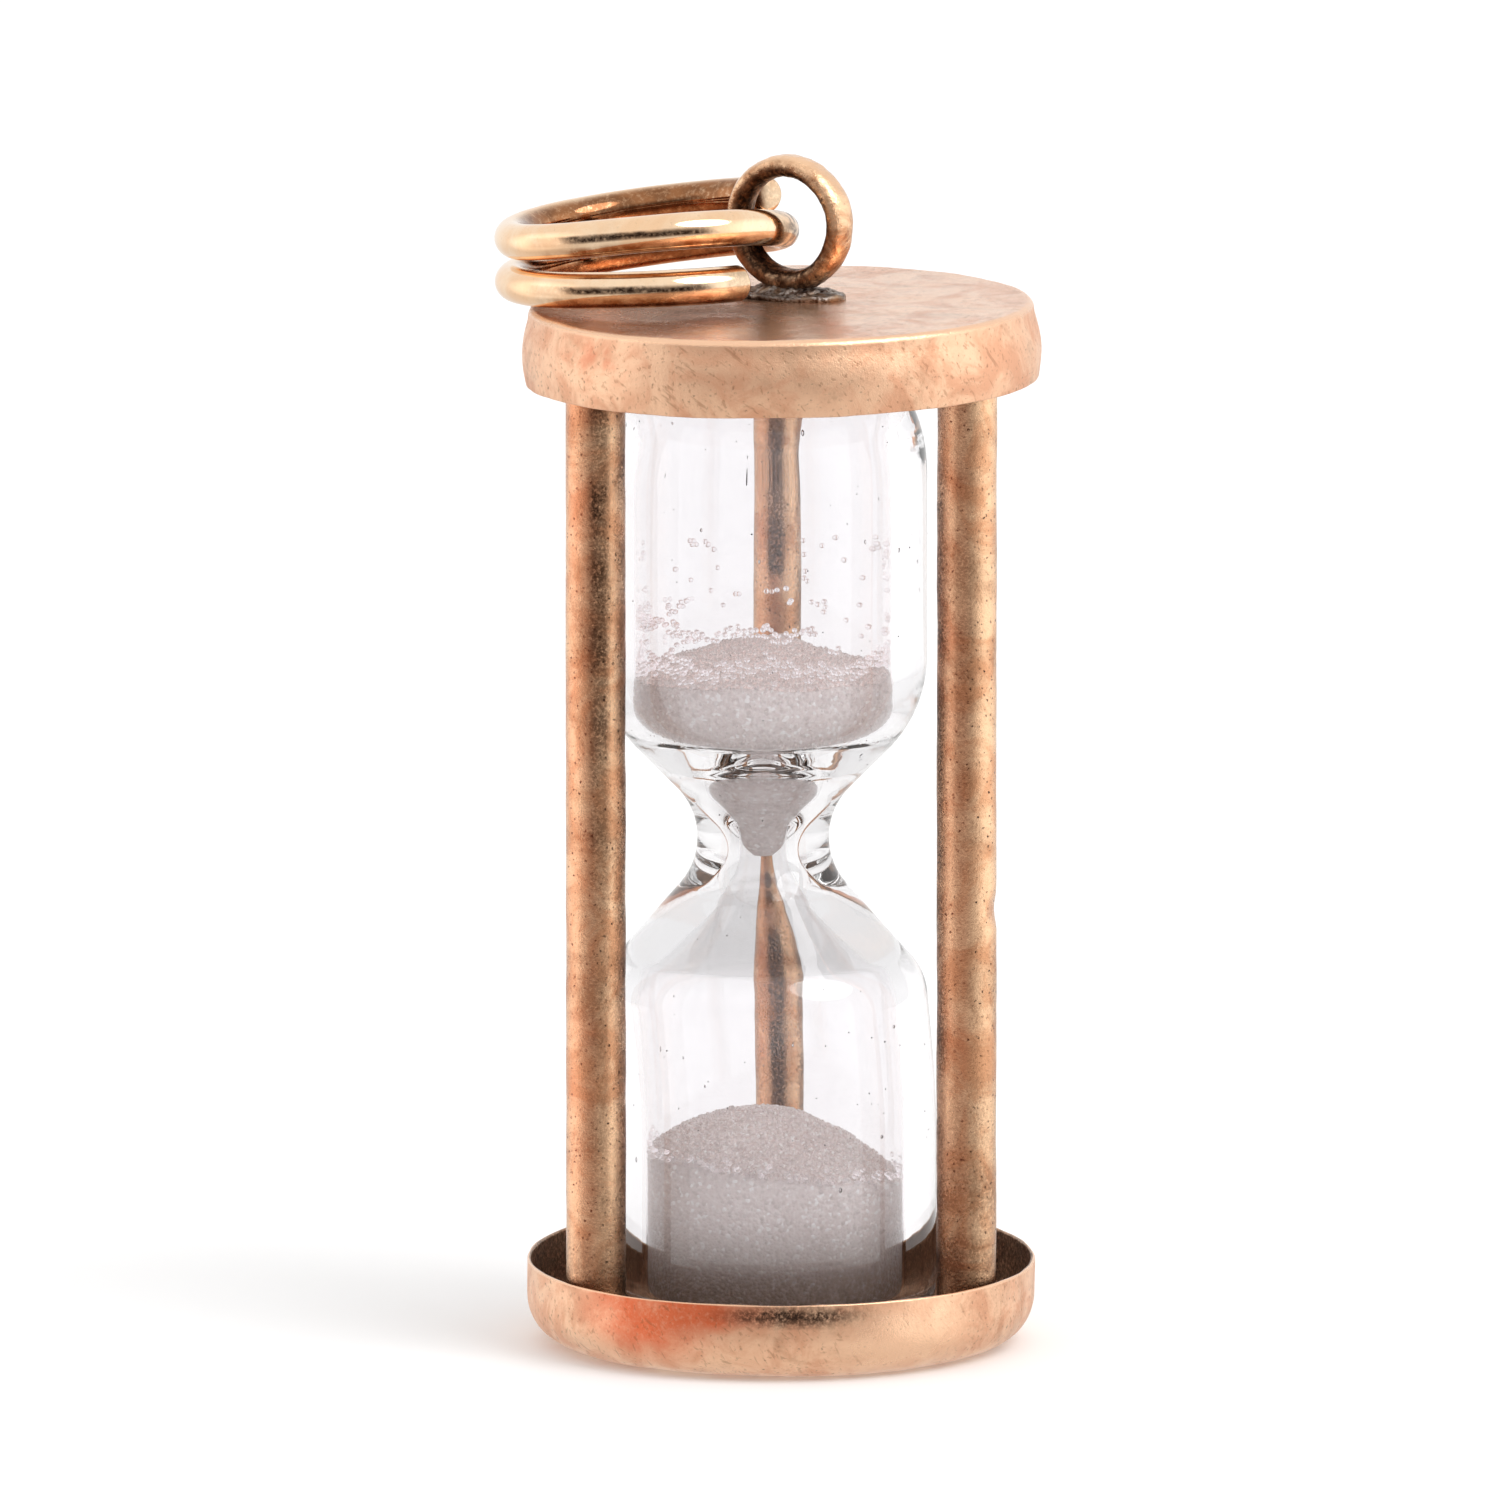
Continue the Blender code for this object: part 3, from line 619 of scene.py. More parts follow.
def wire_loop(place, frame_here, section, sides, along=Vector(), down=0.0):
    """Points round a wire. At an open end, down is their angle round its curve along."""
    across, up = frame_here
    size = 1.0 - END_NARROWING * (1.0 - math.cos(down))
    points = []
    for number in range(sides):
        angle = TURN * number / sides
        spoke = across * math.cos(angle) + up * math.sin(angle)
        reach = along * (section(angle) * END_BULGE * math.sin(down))
        points.append(tuple(place + spoke * (section(angle) * size) + reach))
    return points


def sweep(centres, frames, section, sides, closed, caps=0):
    """Sweep a section along centres. section(angle) is its radius.

    caps is how many loops round off each open end.
    """
    count = len(centres)
    verts = []
    for place, frame_here in zip(centres, frames):
        verts += wire_loop(place, frame_here, section, sides)
    faces = []
    for row in range(count if closed else count - 1):
        faces += bridge(row * sides, (row + 1) % count * sides, sides)
    for row in () if closed else (0, count - 1):
        close_end(verts, faces, centres, frames, section, sides, row, caps)
    return np.array(verts), faces


def close_end(verts, faces, centres, frames, section, sides, row, caps):
    """Round an open end over a short way, down to a small flat and one middle point."""
    flip = row == 0
    along = (centres[row] - centres[1 if flip else row - 1]).normalized()
    previous = row * sides
    for cap in range(1, caps + 1):
        down = math.pi / 2.0 * cap / (caps + 1)
        first = len(verts)
        verts += wire_loop(centres[row], frames[row], section, sides, along, down)
        faces += bridge(previous, first, sides, flip)
        previous = first
    faces += fan(previous, len(verts), sides, flip)
    verts.append(tuple(centres[row] + along * section(0.0) * END_REACH))


def in_frame(matrix, points):
    turned = np.array(matrix.to_3x3())
    return points @ turned.T + np.array(matrix.translation)


# ---- caps
def cup_rise(points):
    """How much the cup's hammered rim is lifted towards the back."""
    up_the_wall = np.maximum((points[:, 2] - CUP_CORNER) / (CUP_HEIGHT - CUP_CORNER), 0.0)
    towards_back = 0.5 + 0.5 * points[:, 1] / CUP_RADIUS
    return CUP_BACK_RISE * up_the_wall * towards_back ** 2


def make_bottom_cap(material):
    inner = CUP_RADIUS - CUP_WALL
    corners = [(0.0, 0.0, 0.0),
               (CUP_RADIUS, 0.0, CUP_CORNER),
               (CUP_RADIUS, CUP_HEIGHT, CUP_LIP),
               (inner, CUP_HEIGHT, CUP_LIP),
               (inner, CUP_WALL, CUP_CORNER - CUP_WALL),
               (0.0, CUP_WALL, 0.0)]
    outline = evenly(rounded_outline(corners), CAP_SPACING)
    level, faces = lathe(outline, CAP_SIDES)
    verts = level.copy()
    verts[:, 2] += cup_rise(level)
    cap = new_piece("bottom_cap_shell", verts, faces, material, "root", "gold", "bottom_cap")
    roughen(cap, (0.045, 2.1, 1.0), (0.014, 0.55, 2.0))
    rim = max(range(len(outline)), key=lambda index: outline[index][1])
    outside = np.arange(len(level)) <= CAP_SIDES * rim
    edge = smooth_step(level[:, 2], CUP_HEIGHT - 0.07 * MM, CUP_HEIGHT - 0.02 * MM)
    # Painted highlight: the cup's right front is painted lighter, as if lit
    lit_side = np.where(outside, 0.8 * near(level, *CUP_LIT_SIDE), 0.0)
    paint(cap, "edge", np.maximum(edge, lit_side))

    flush_and_reflection = near(level, *CUP_FLUSH) + 0.8 * near(level, *CUP_FLUSH_TAIL)
    uneven = clouds_at(level, 0.6 * MM, 3.0)
    paint(cap, "flush_and_reflection", np.where(outside, flush_and_reflection, 0.0) * (0.55 + 0.8 * uneven))

    soot = near(level, *CUP_SOOT) * (0.7 + 0.8 * clouds_at(level, 0.30 * MM, 4.5))
    burn = np.where(outside, 0.9 * soot, 0.60 + 0.35 * clouds_at(level, 0.8 * MM, 4.0))
    for name in ROD_NAMES:
        foot = near(level, (*rod_centre(name), 0.5 * MM), mm(1.9, 1.9, 2.2))
        burn = np.where(outside, burn, np.maximum(burn, foot * 0.95))
    paint(cap, "burn", burn)


def bowed_side():
    """Points down the lid's side, bowed out between its edge and its skirt."""
    edge = Vector((LID_EDGE_RADIUS, -LID_EDGE_ROUND))
    skirt = Vector((LID_SKIRT_RADIUS, -LID_HEIGHT))
    belly = LID_BELLY_RADIUS - (LID_EDGE_RADIUS + LID_SKIRT_RADIUS) / 2.0
    steps = 14
    points = []
    for number in range(1, steps):
        share = number / steps
        point = edge.lerp(skirt, share)
        points.append((point.x + belly * math.sin(math.pi * share), point.y, 0.0))
    return points


def make_top_cap(material):
    corners = [(0.0, 0.0, 0.0), (LID_EDGE_RADIUS, 0.0, LID_EDGE_ROUND)]
    corners += bowed_side()
    corners += [(LID_SKIRT_RADIUS, -LID_HEIGHT, LID_LIP),
                (LID_INNER_RADIUS, -LID_HEIGHT, 0.0),
                (LID_INNER_RADIUS, -LID_PLATE, LID_INNER_ROUND),
                (0.0, -LID_PLATE, 0.0)]
    outline = evenly(rounded_outline(corners), CAP_SPACING)
    verts, faces = lathe(outline[::-1], CAP_SIDES)
    verts = in_frame(LID_FRAME, verts)
    cap = new_piece("top_cap_shell", verts, faces, material, "root", "gold", "top_cap")
    roughen(cap, (0.040, 2.1, 5.0), (0.012, 0.5, 6.0))
    points = points_of(cap)
    local = in_frame(LID_FRAME.inverted(), points)
    height = local[:, 2]
    across = np.hypot(local[:, 0], local[:, 1])
    paint(cap, "edge", near(np.stack([across, height], 1),
                            (LID_EDGE_RADIUS - 0.03 * MM, -0.05 * MM), mm(0.22, 0.16)))
    broken = smooth_step(clouds_at(points, 0.35 * MM, 7.0), 0.4, 0.75)
    paint(cap, "flush_and_reflection", near(points, *LID_STREAKS) * broken * 0.4)
    soot = near(local, *LID_SOOT) * (0.4 + 0.8 * clouds_at(points, 0.5 * MM, 8.0))
    # Painted reflection: browner over the lid's top
    painted_reflection = near(local, *LID_TOP_REFLECTION) * (0.30 + 0.50 * clouds_at(points, 1.3 * MM, 8.5))
    burn = np.maximum(soot, np.where(height > -0.10 * MM, painted_reflection, 0.0))
    below = (across < LID_INNER_RADIUS + 0.02 * MM) & (height < -LID_PLATE * 0.5)
    paint(cap, "burn", np.where(below, 0.25, burn))
    paint(cap, "polish", smooth_step(height, -0.06 * MM, -0.03 * MM))


# ---- rods and their solder
def rod_centre(name):
    low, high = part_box(name)
    return (low.x + high.x) / 2.0, (low.y + high.y) / 2.0


def make_rod(name, seed, material):
    low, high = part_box(name)
    x, y = rod_centre(name)
    outline = [(0.0, low.z), (ROD_RADIUS - ROD_BEVEL, low.z), (ROD_RADIUS, low.z + ROD_BEVEL),
               (ROD_RADIUS, high.z - ROD_BEVEL), (ROD_RADIUS - ROD_BEVEL, high.z),
               (0.0, high.z)]
    verts, faces = lathe(evenly(outline, 0.14 * MM), 56)
    verts = verts + np.array((x, y, 0.0))
    rod = new_piece(name + "_wire", verts, faces, material, "root", "gold", name)
    roughen(rod, (0.030, 1.6, seed), (0.008, 0.35, seed + 1.0))
    points = points_of(rod)
    if name == "rod_right":
        dent = near(points, (x + ROD_RADIUS, y - 0.2 * MM, 10.4 * MM), mm(0.5, 0.6, 0.5))
        points[:, 0] -= dent * 0.07 * MM
        move_points(rod, points)
    sideways = points[:, 0] - x
    height = points[:, 2]
    in_front = points[:, 1] < y
    uneven = clouds_at(points, 0.9 * MM, seed + 2.0)

    reach, strength = ROD_FEET[name]
    foot = fade(height, low.z + 0.4 * MM, low.z + reach)
    burn = foot * (0.35 + 0.75 * uneven) * strength
    middle, half_width, depth = TARNISH_AND_REFLECTION_BANDS[name]
    # band: tarnish with a painted reflection of the dark wall in front, painted on the front only
    band = band_at(sideways, middle, half_width * 0.35, half_width)
    band *= depth * (0.55 + 0.8 * uneven)
    if name != "rod_back":
        band *= 0.40 + 0.60 * smooth_step(height, 9.0 * MM, 15.0 * MM)
    else:
        # The back rod's painted reflection is lighter between the lower bulb and the top of the
        # upper sand
        hidden = smooth_step(height, 9.4 * MM, 10.2 * MM) * fade(height, 16.9 * MM, 17.3 * MM)
        band = np.maximum(band * (1.0 - 0.80 * hidden), 0.30)
    inward = -1.0 if name == "rod_right" else 1.0
    # Painted shade along the rod's inner edge, on its front
    inner_edge_shade = 0.75 * smooth_step(inward * sideways, 0.30 * MM, 0.64 * MM) * (0.4 + uneven)
    paint(rod, "burn", np.maximum(burn, np.where(in_front, np.maximum(band, inner_edge_shade), 0.0)))
    warm = band_at(sideways, -0.30 * MM, 0.20 * MM, 0.45 * MM)
    paint(rod, "flush_and_reflection", 0.32 * warm * (0.4 + 0.9 * uneven))


def pull_in(points, limit):
    """Move points towards the Z axis until none is further from it than limit."""
    across = np.hypot(points[:, 0], points[:, 1])
    share = np.minimum(1.0, limit / np.maximum(across, 1e-9))
    return points * np.stack([share, share, np.ones(len(points))], 1)


def inside_cup(points, slack):
    """Pull points in so that they stay inside the cup's wall and rounded corner."""
    corner = CUP_CORNER - CUP_WALL
    drop = np.clip(CUP_WALL + corner - points[:, 2], 0.0, corner)
    round_in = np.sqrt(np.maximum(corner ** 2 - drop ** 2, 0.0))
    return pull_in(points, CUP_RADIUS - CUP_WALL - slack - corner + round_in)


def inside_lid(points, slack):
    return pull_in(points, LID_INNER_RADIUS - slack)


def make_solder(side, level, seed, material):
    """Grainy mound about a rod's end, on the cup's floor or under the lid's plate.

    Its flat side stays sunk in the cap, so that its thin rim never lifts off it.
    """
    node = "solder_" + level + "_" + side
    low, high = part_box(node)
    x, y = rod_centre("rod_" + side)
    upward = level == "lower"
    base, crest = (low.z, high.z) if upward else (high.z, low.z)
    if upward:
        base = CUP_WALL * 0.7
    outline = [(0.0, base)]
    steps = 22
    for number in range(steps + 1):
        angle = math.pi / 2.0 * number / steps
        r = SOLDER_SPREAD - (SOLDER_SPREAD - ROD_RADIUS * 0.96) * math.sin(angle)
        outline.append((r, crest - (crest - base) * math.cos(angle)))
    outline.append((0.0, crest))
    outline = evenly(outline, 0.08 * MM)
    verts, faces = lathe(outline if upward else outline[::-1], 72)
    verts = verts + np.array((x, y, 0.0))
    lump = new_piece(node + "_lump", verts, faces, material, "root", "solder", node)
    roughen(lump, (0.16, 0.75, seed, 4), (0.05, 0.18, seed + 1.0, 4))
    pull = inside_cup if upward else inside_lid
    points = pull(points_of(lump), 0.02 * MM)
    limit = np.maximum if upward else np.minimum
    points[:, 2] = limit(points[:, 2], base)
    move_points(lump, points)
    points = points_of(lump)
    dark = 0.95 if side == "left" else 0.75
    paint(lump, "burn", dark * smooth_step(clouds_at(points, 0.5 * MM, seed + 2.0), 0.30, 0.55))


# ---- glass
def dome(radius, base_z, height, power, first, last, steps=28):
    """Points of a superellipse dome, from the fraction first to last of its quarter turn."""
    points = []
    for number in range(steps + 1):
        angle = math.pi / 2.0 * (first + (last - first) * number / steps)
        r = radius * abs(math.cos(angle)) ** (2.0 / power)
        z = base_z + height * abs(math.sin(angle)) ** (2.0 / power)
        points.append((r if r > 1e-7 else 0.0, z))
    return points


def vial_outside():
    foot_z = VIAL_BOTTOM + FOOT_HEIGHT
    crown_z = VIAL_TOP - CROWN_HEIGHT
    foot = dome(LOWER_BULB_RADIUS, foot_z, -FOOT_HEIGHT, FOOT_POWER, 1.0, 0.0)
    waist = rounded_outline([(LOWER_BULB_RADIUS, foot_z, 0.0),
                             (LOWER_BULB_RADIUS, LOWER_SHOULDER_Z, LOWER_SHOULDER_ROUND),
                             (NECK_CONE_RADIUS, NECK_Z, NECK_ROUND),
                             (UPPER_BULB_RADIUS, UPPER_SHOULDER_Z, UPPER_SHOULDER_ROUND),
                             (UPPER_BULB_RADIUS, crown_z, 0.0)], math.radians(2.5))
    crown = dome(UPPER_BULB_RADIUS, crown_z, CROWN_HEIGHT, CROWN_POWER, 0.0, 0.985)
    return foot + waist[1:-1] + crown


def bore_outline(shrink=0.0):
    """Outline of the vial's bore, pulled in by shrink, from its lower end up."""
    lower = LOWER_BORE_RADIUS - shrink
    upper = UPPER_BORE_RADIUS - shrink
    foot_z = VIAL_BOTTOM + FOOT_WALL + BORE_FOOT_HEIGHT
    crown_z = VIAL_TOP - CROWN_WALL - BORE_CROWN_HEIGHT
    foot = dome(lower, foot_z, -(BORE_FOOT_HEIGHT - shrink), FOOT_POWER, 1.0, 0.0)
    corners = [BORE_LOWER_SHOULDER, BORE_LOWER_THROAT, BORE_NECK,
               BORE_UPPER_THROAT, BORE_UPPER_SHOULDER]
    corners = [(radius - shrink, z, rounding) for radius, z, rounding in corners]
    waist = rounded_outline([(lower, foot_z, 0.0)] + corners + [(upper, crown_z, 0.0)],
                            math.radians(2.5))
    crown = dome(upper, crown_z, BORE_CROWN_HEIGHT - shrink, BORE_CROWN_POWER, 0.0, 0.97)
    return foot + waist[1:-1] + crown


def ball(rings, sides):
    """Points and faces of a unit ball with its poles on Z."""
    outline = []
    for number in range(rings + 1):
        angle = math.pi * number / rings
        r = math.sin(angle)
        outline.append((r if 0 < number < rings else 0.0, -math.cos(angle)))
    return lathe(outline, sides)


def many(shape, centres, sizes, inward=False):
    """One mesh with a copy of a shape at each centre. sizes is a number or three, for each."""
    verts, faces = shape
    all_verts = []
    all_faces = []
    for number, (centre, size) in enumerate(zip(centres, sizes)):
        all_verts.append(verts * size + np.array(centre))
        start = number * len(verts)
        for face in faces:
            moved = tuple(start + corner for corner in face)
            all_faces.append(moved[::-1] if inward else moved)
    return np.concatenate(all_verts), all_faces


def make_vial(material):
    crown_top = VIAL_TOP - 0.02 * MM
    bore_top = VIAL_TOP - CROWN_WALL - 0.02 * MM
    outside = [point for point in vial_outside() if point[1] < crown_top]
    inside = [point for point in bore_outline() if point[1] < bore_top]
    hole = [(FILL_HOLE_RADIUS, crown_top + 0.01 * MM), (FILL_HOLE_RADIUS, bore_top + 0.03 * MM)]
    outline = evenly(outside + hole + inside[::-1], 0.35 * MM)
    verts, faces = lathe(outline, 192, vial_axis)
    bubbles = bubble_places(22)
    sizes = [np.array((1.0, 1.0, stretch)) * radius for _, radius, stretch in bubbles]
    more, more_faces = many(ball(8, 10), [place for place, _, _ in bubbles], sizes, True)
    faces = faces + [tuple(corner + len(verts) for corner in face) for face in more_faces]
    verts = np.concatenate([verts, more])
    vial = new_piece("vial_glass", verts, faces, material, "root", "glass", "vial")
    height = verts[:, 2]
    # Painted shade: the glass is tinted darker about its waist
    waist = smooth_step(height, 8.3 * MM, 9.0 * MM) * fade(height, 14.2 * MM, 15.2 * MM)
    paint(vial, "burn", 0.85 * waist)


def bubble_places(count):
    """Places in the middle of the vial's wall, each with a radius and a stretch."""
    places = []
    for _ in range(count):
        upper = DICE.random() < 0.6
        z = DICE.uniform(16.0, 21.5) * MM if upper else DICE.uniform(4.0, 7.8) * MM
        radius = (3.34 if upper else 3.29) * MM
        angle = DICE.uniform(0.0, TURN)
        place = (vial_axis(z) + radius * math.cos(angle), radius * math.sin(angle), z)
        places.append((place, DICE.uniform(0.02, 0.045) * MM, DICE.uniform(1.0, 2.2)))
    return places


def make_vial_seal(material):
    stem = FILL_HOLE_RADIUS - 0.03 * MM
    nib_base = VIAL_TOP + 0.03 * MM
    nib = dome(SEAL_HIGH.x - (SEAL_HIGH.x + SEAL_LOW.x) / 2.0, nib_base,
               SEAL_HIGH.z - nib_base, 2.0, 0.0, 1.0, 12)
    outline = [(0.0, SEAL_LOW.z), (stem, SEAL_LOW.z), (stem, nib_base)] + nib
    verts, faces = lathe(evenly(outline, 0.08 * MM), 40, vial_axis)
    new_piece("vial_tip", verts, faces, material, "root", "glass", "vial_seal")


# ---- sand
def radius_at(outline, z):
    """Radius of an outline at height z, by straight lines between its points."""
    for (r0, z0), (r1, z1) in zip(outline, outline[1:]):
        if z0 <= z <= z1 and z1 > z0:
            return r0 + (r1 - r0) * (z - z0) / (z1 - z0)
    return 0.0


def upper_surface(x, y):
    share = min(1.0, math.hypot(x, y) / UPPER_BORE_RADIUS)
    mound = UPPER_SAND_MOUND * math.cos(math.pi / 2.0 * share) ** 2
    uneven = noise.noise(Vector((x, y, 0.0)) / (1.1 * MM)) * 0.10 * MM
    return UPPER_SAND_EDGE_Z + mound + uneven


def lower_surface(x, y):
    share = min(1.0, math.hypot(x - LOWER_HEAP_SHIFT, y) / LOWER_HEAP_RADIUS)
    heap = LOWER_SAND_HEAP * math.cos(math.pi / 2.0 * share)
    uneven = noise.noise(Vector((x, y, 4.0 * MM)) / (1.0 * MM)) * 0.07 * MM
    return LOWER_SAND_EDGE_Z + heap - LOWER_SAND_SLOPE * x + uneven


def sand_body(wall, surface, segments, rings):
    """Closed body: the wall outline from below, then the surface from its rim to its middle."""
    radius, edge_z = wall[-1]
    inner = [(radius * (1.0 - number / rings), edge_z) for number in range(1, rings)]
    verts, faces = lathe(wall + inner + [(0.0, edge_z)], segments, vial_axis)
    centre = vial_axis(edge_z)
    for index in range(len(verts) - 1 - rings * segments, len(verts)):
        verts[index, 2] = surface(verts[index, 0] - centre, verts[index, 1])
    return verts, faces


def wall_beads(outline, low, high, keep, size=BEAD_RADIUS):
    """Bead centres in jittered rows on the bore wall, between two heights."""
    centres = []
    travelled = 0.0
    spacing = size * 1.85
    for (r0, z0), (r1, z1) in zip(outline, outline[1:]):
        run = math.hypot(r1 - r0, z1 - z0)
        travelled += run
        if travelled < spacing or z0 < low or z0 > high:
            continue
        travelled = 0.0
        count = int(TURN * r0 / (2.0 * size * 1.04))
        phase = DICE.random()
        for number in range(count):
            angle = TURN * (number + phase + DICE.uniform(-0.38, 0.38)) / count
            z = z0 + DICE.uniform(-0.75, 0.75) * size
            r = r0 - size + DICE.uniform(-0.7, 0.0) * size
            place = (vial_axis(z) + r * math.cos(angle), r * math.sin(angle), z)
            if keep(place, angle):
                centres.append(place)
    return centres


def surface_beads(surface, radius, centre_x, size=BEAD_RADIUS):
    """Bead centres in a jittered triangular grid over a heap's surface."""
    centres = []
    pitch = size * 2.04
    rows = int(2.0 * radius / (pitch * 0.866)) + 1
    for row in range(rows):
        y = -radius + row * pitch * 0.866
        for number in range(rows + 1):
            x = -radius + (number + 0.5 * (row % 2)) * pitch
            x += DICE.uniform(-0.4, 0.4) * pitch
            v = y + DICE.uniform(-0.4, 0.4) * pitch
            if math.hypot(x, v) > radius - size:
                continue
            z = surface(x, v) + DICE.uniform(-0.2, 1.5) * size
            centres.append((centre_x + x, v, z))
    return centres


def make_beads(name, centres, material, rings=4, sides=7, size=BEAD_RADIUS):
    radii = DICE.uniform(0.86, 1.06, len(centres)) * size
    verts, faces = many(ball(rings, sides), centres, radii)
    return new_piece(name, verts, faces, material, "root", "sand")


def clustering(place, size):
    """Where clinging beads gather. The back of the glass gets few of them."""
    gathered = noise.noise(Vector(place) / size) + 0.5 * (DICE.random() - 0.5)
    return 0.60 * (gathered - 0.9 * smooth_step(np.float64(place[1]), 0.2 * MM, 1.2 * MM))


def make_sand(sand, clear):
    outline = evenly(bore_outline(SAND_GAP), 0.12 * MM)
    wall = [(0.0, SAND_COLUMN_END_Z)]
    for r, z in outline:
        if SAND_COLUMN_END_Z < z < UPPER_SAND_EDGE_Z:
            thinned = smooth_step(z, SAND_COLUMN_END_Z - 0.30 * MM, SAND_COLUMN_END_Z + 0.45 * MM)
            wall.append((r * thinned, z))
    wall.append((radius_at(outline, UPPER_SAND_EDGE_Z), UPPER_SAND_EDGE_Z))
    verts, faces = sand_body(evenly(wall, 0.12 * MM), upper_surface, 160, 30)
    heap = new_piece("sand_upper_heap", verts, faces, sand, "root", "sand", "sand_upper")
    # Painted light: the heap's top glows more
    paint(heap, "lift", smooth_step(points_of(heap)[:, 2], 15.3 * MM, 15.7 * MM))

    ceiling = LOWER_SAND_EDGE_Z - 0.25 * MM
    wall = [point for point in outline if point[1] < ceiling]
    wall.append((radius_at(outline, LOWER_SAND_EDGE_Z), LOWER_SAND_EDGE_Z))
    verts, faces = sand_body(evenly(wall, 0.12 * MM), lower_surface, 160, 30)
    heap = new_piece("sand_lower_heap", verts, faces, sand, "root", "sand", "sand_lower")
    # Painted shade: the lower heap turns dark brown towards its bottom, in the cup's shade
    depth = 0.95 - 0.95 * smooth_step(points_of(heap)[:, 2], 1.4 * MM, 3.7 * MM)
    paint(heap, "burn", depth)

    bore = evenly(bore_outline(0.012 * MM), 0.01 * MM)
    centre = vial_axis(UPPER_SAND_EDGE_Z)

    def upper_wall(place, _angle):
        return place[2] < upper_surface(place[0] - centre, place[1]) + 0.02 * MM

    top = make_beads("sand_upper_top_beads",
                     surface_beads(upper_surface, UPPER_BORE_RADIUS - 0.06 * MM, centre), sand)
    # Painted light: the top beads glow more
    paint(top, "lift", np.ones(len(top.data.vertices)))
    make_beads("sand_upper_wall_beads",
               wall_beads(bore, 14.35 * MM, UPPER_SAND_EDGE_Z + 0.3 * MM, upper_wall), sand)

    low_centre = vial_axis(LOWER_SAND_EDGE_Z)
    make_beads("sand_lower_top_beads",
               surface_beads(lower_surface, LOWER_BORE_RADIUS - 0.06 * MM, low_centre), sand)

    def stuck(place, angle):
        """Beads that cling above the sand: two wavy bands, and a scatter at the front left."""
        wave = 0.22 * MM * noise.noise(Vector(place) / (1.2 * MM))
        lower_band = 0.80 - abs(place[2] - 15.95 * MM - wave) / (0.44 * MM)
        upper_band = 0.80 - abs(place[2] - 16.85 * MM - wave) / (0.36 * MM)
        upper_band -= 0.6 * smooth_step(np.float64(place[0]), 0.0, 1.2 * MM)
        left = 0.5 - 0.5 * math.cos(angle - math.radians(30.0))
        scatter = 0.16 * left - 0.30 * abs(place[2] - 17.3 * MM) / (1.4 * MM)
        densest = max(lower_band, upper_band, scatter, 0.04)
        return densest + clustering(place, 0.30 * MM) > 0.36

    def beside_heap(place, _angle):
        """Beads that cling to the front of the glass about the edge of the lower heap."""
        above = place[2] - lower_surface(place[0] - low_centre, place[1])
        band = 0.75 - abs(above - 0.10 * MM) / (0.60 * MM)
        return band + clustering(place, 0.26 * MM) > 0.55

    clinging = wall_beads(bore, UPPER_SAND_EDGE_Z - 0.3 * MM, 19.0 * MM, stuck, STUCK_RADIUS)
    clinging += wall_beads(bore, 3.0 * MM, 5.6 * MM, beside_heap, STUCK_RADIUS)
    make_beads("stuck_beads", clinging, clear, 8, 12, STUCK_RADIUS)


def make_specks(material):
    """Dust and grit on the outside of the glass."""
    centres = []
    sizes = []
    outside = vial_outside()
    for _ in range(130):
        z = DICE.uniform(4.5, 21.6) * MM
        if 9.5 * MM < z < 13.0 * MM and DICE.random() < 0.5:
            continue
        angle = DICE.uniform(0.0, TURN)
        r = radius_at(outside, z)
        centres.append((vial_axis(z) + r * math.cos(angle), r * math.sin(angle), z))
        sizes.append(DICE.uniform(0.008, 0.024, 3) * MM)
    verts, faces = many(ball(6, 8), centres, sizes)
    new_piece("glass_dust", verts, faces, material, "root", "glass")


# ---- bail and split ring
PIVOT = Vector(SWING["pos_m"])
PIVOT_Y = Vector(SWING["axis"]).normalized()
PIVOT_X = PIVOT_Y.cross(LID_FRAME.to_3x3() @ Vector((0.0, 0.0, 1.0))).normalized()
PIVOT_Z = PIVOT_X.cross(PIVOT_Y).normalized()
BAIL_FRAME = Matrix((PIVOT_X, PIVOT_Y, PIVOT_Z)).transposed().to_4x4()
BAIL_FRAME.translation = PIVOT


def make_bail(material):
    """The round loop, a wide flat wire: dirt and painted shade inside it and low, a painted
    highlight on top.
    """
    radius = BAIL_OUTER_RADIUS - BAIL_THICKNESS / 2.0
    count = 220
    centres = []
    frames = []
    for number in range(count):
        angle = TURN * number / count
        outward = Vector((math.cos(angle), 0.0, math.sin(angle)))
        centres.append(outward * radius)
        frames.append((outward, Vector((0.0, 1.0, 0.0))))

    def section(angle):
        radial = abs(2.0 * math.cos(angle) / BAIL_THICKNESS) ** BAIL_SQUARENESS
        axial = abs(2.0 * math.sin(angle) / BAIL_WIDTH) ** BAIL_SQUARENESS
        return (radial + axial) ** (-1.0 / BAIL_SQUARENESS)

    verts, faces = sweep(centres, frames, section, 40, True)
    verts = in_frame(BAIL_FRAME, verts)
    bail = new_piece("bail_loop", verts, faces, material, "root", "gold", "bail")
    roughen(bail, (0.045, 0.75, 11.0), (0.018, 0.16, 12.0, 4))
    points = points_of(bail)
    local = in_frame(BAIL_FRAME.inverted(), points)
    height = local[:, 2]
    across = np.hypot(local[:, 0], height)
    # Dirt and painted shade inside the loop and at its foot
    inner = fade(across, radius - 0.16 * MM, radius + 0.14 * MM)
    foot = fade(height, -1.35 * MM, -0.6 * MM)
    uneven = clouds_at(points, 0.4 * MM, 13.0)
    paint(bail, "burn", np.maximum(inner, foot * 0.85) * (0.62 + 0.8 * uneven))
    # Painted highlight along the outer crown
    outer = smooth_step(across, radius + 0.10 * MM, radius + 0.22 * MM)
    paint(bail, "edge", 0.9 * smooth_step(height, -0.2 * MM, 1.0 * MM) * outer)


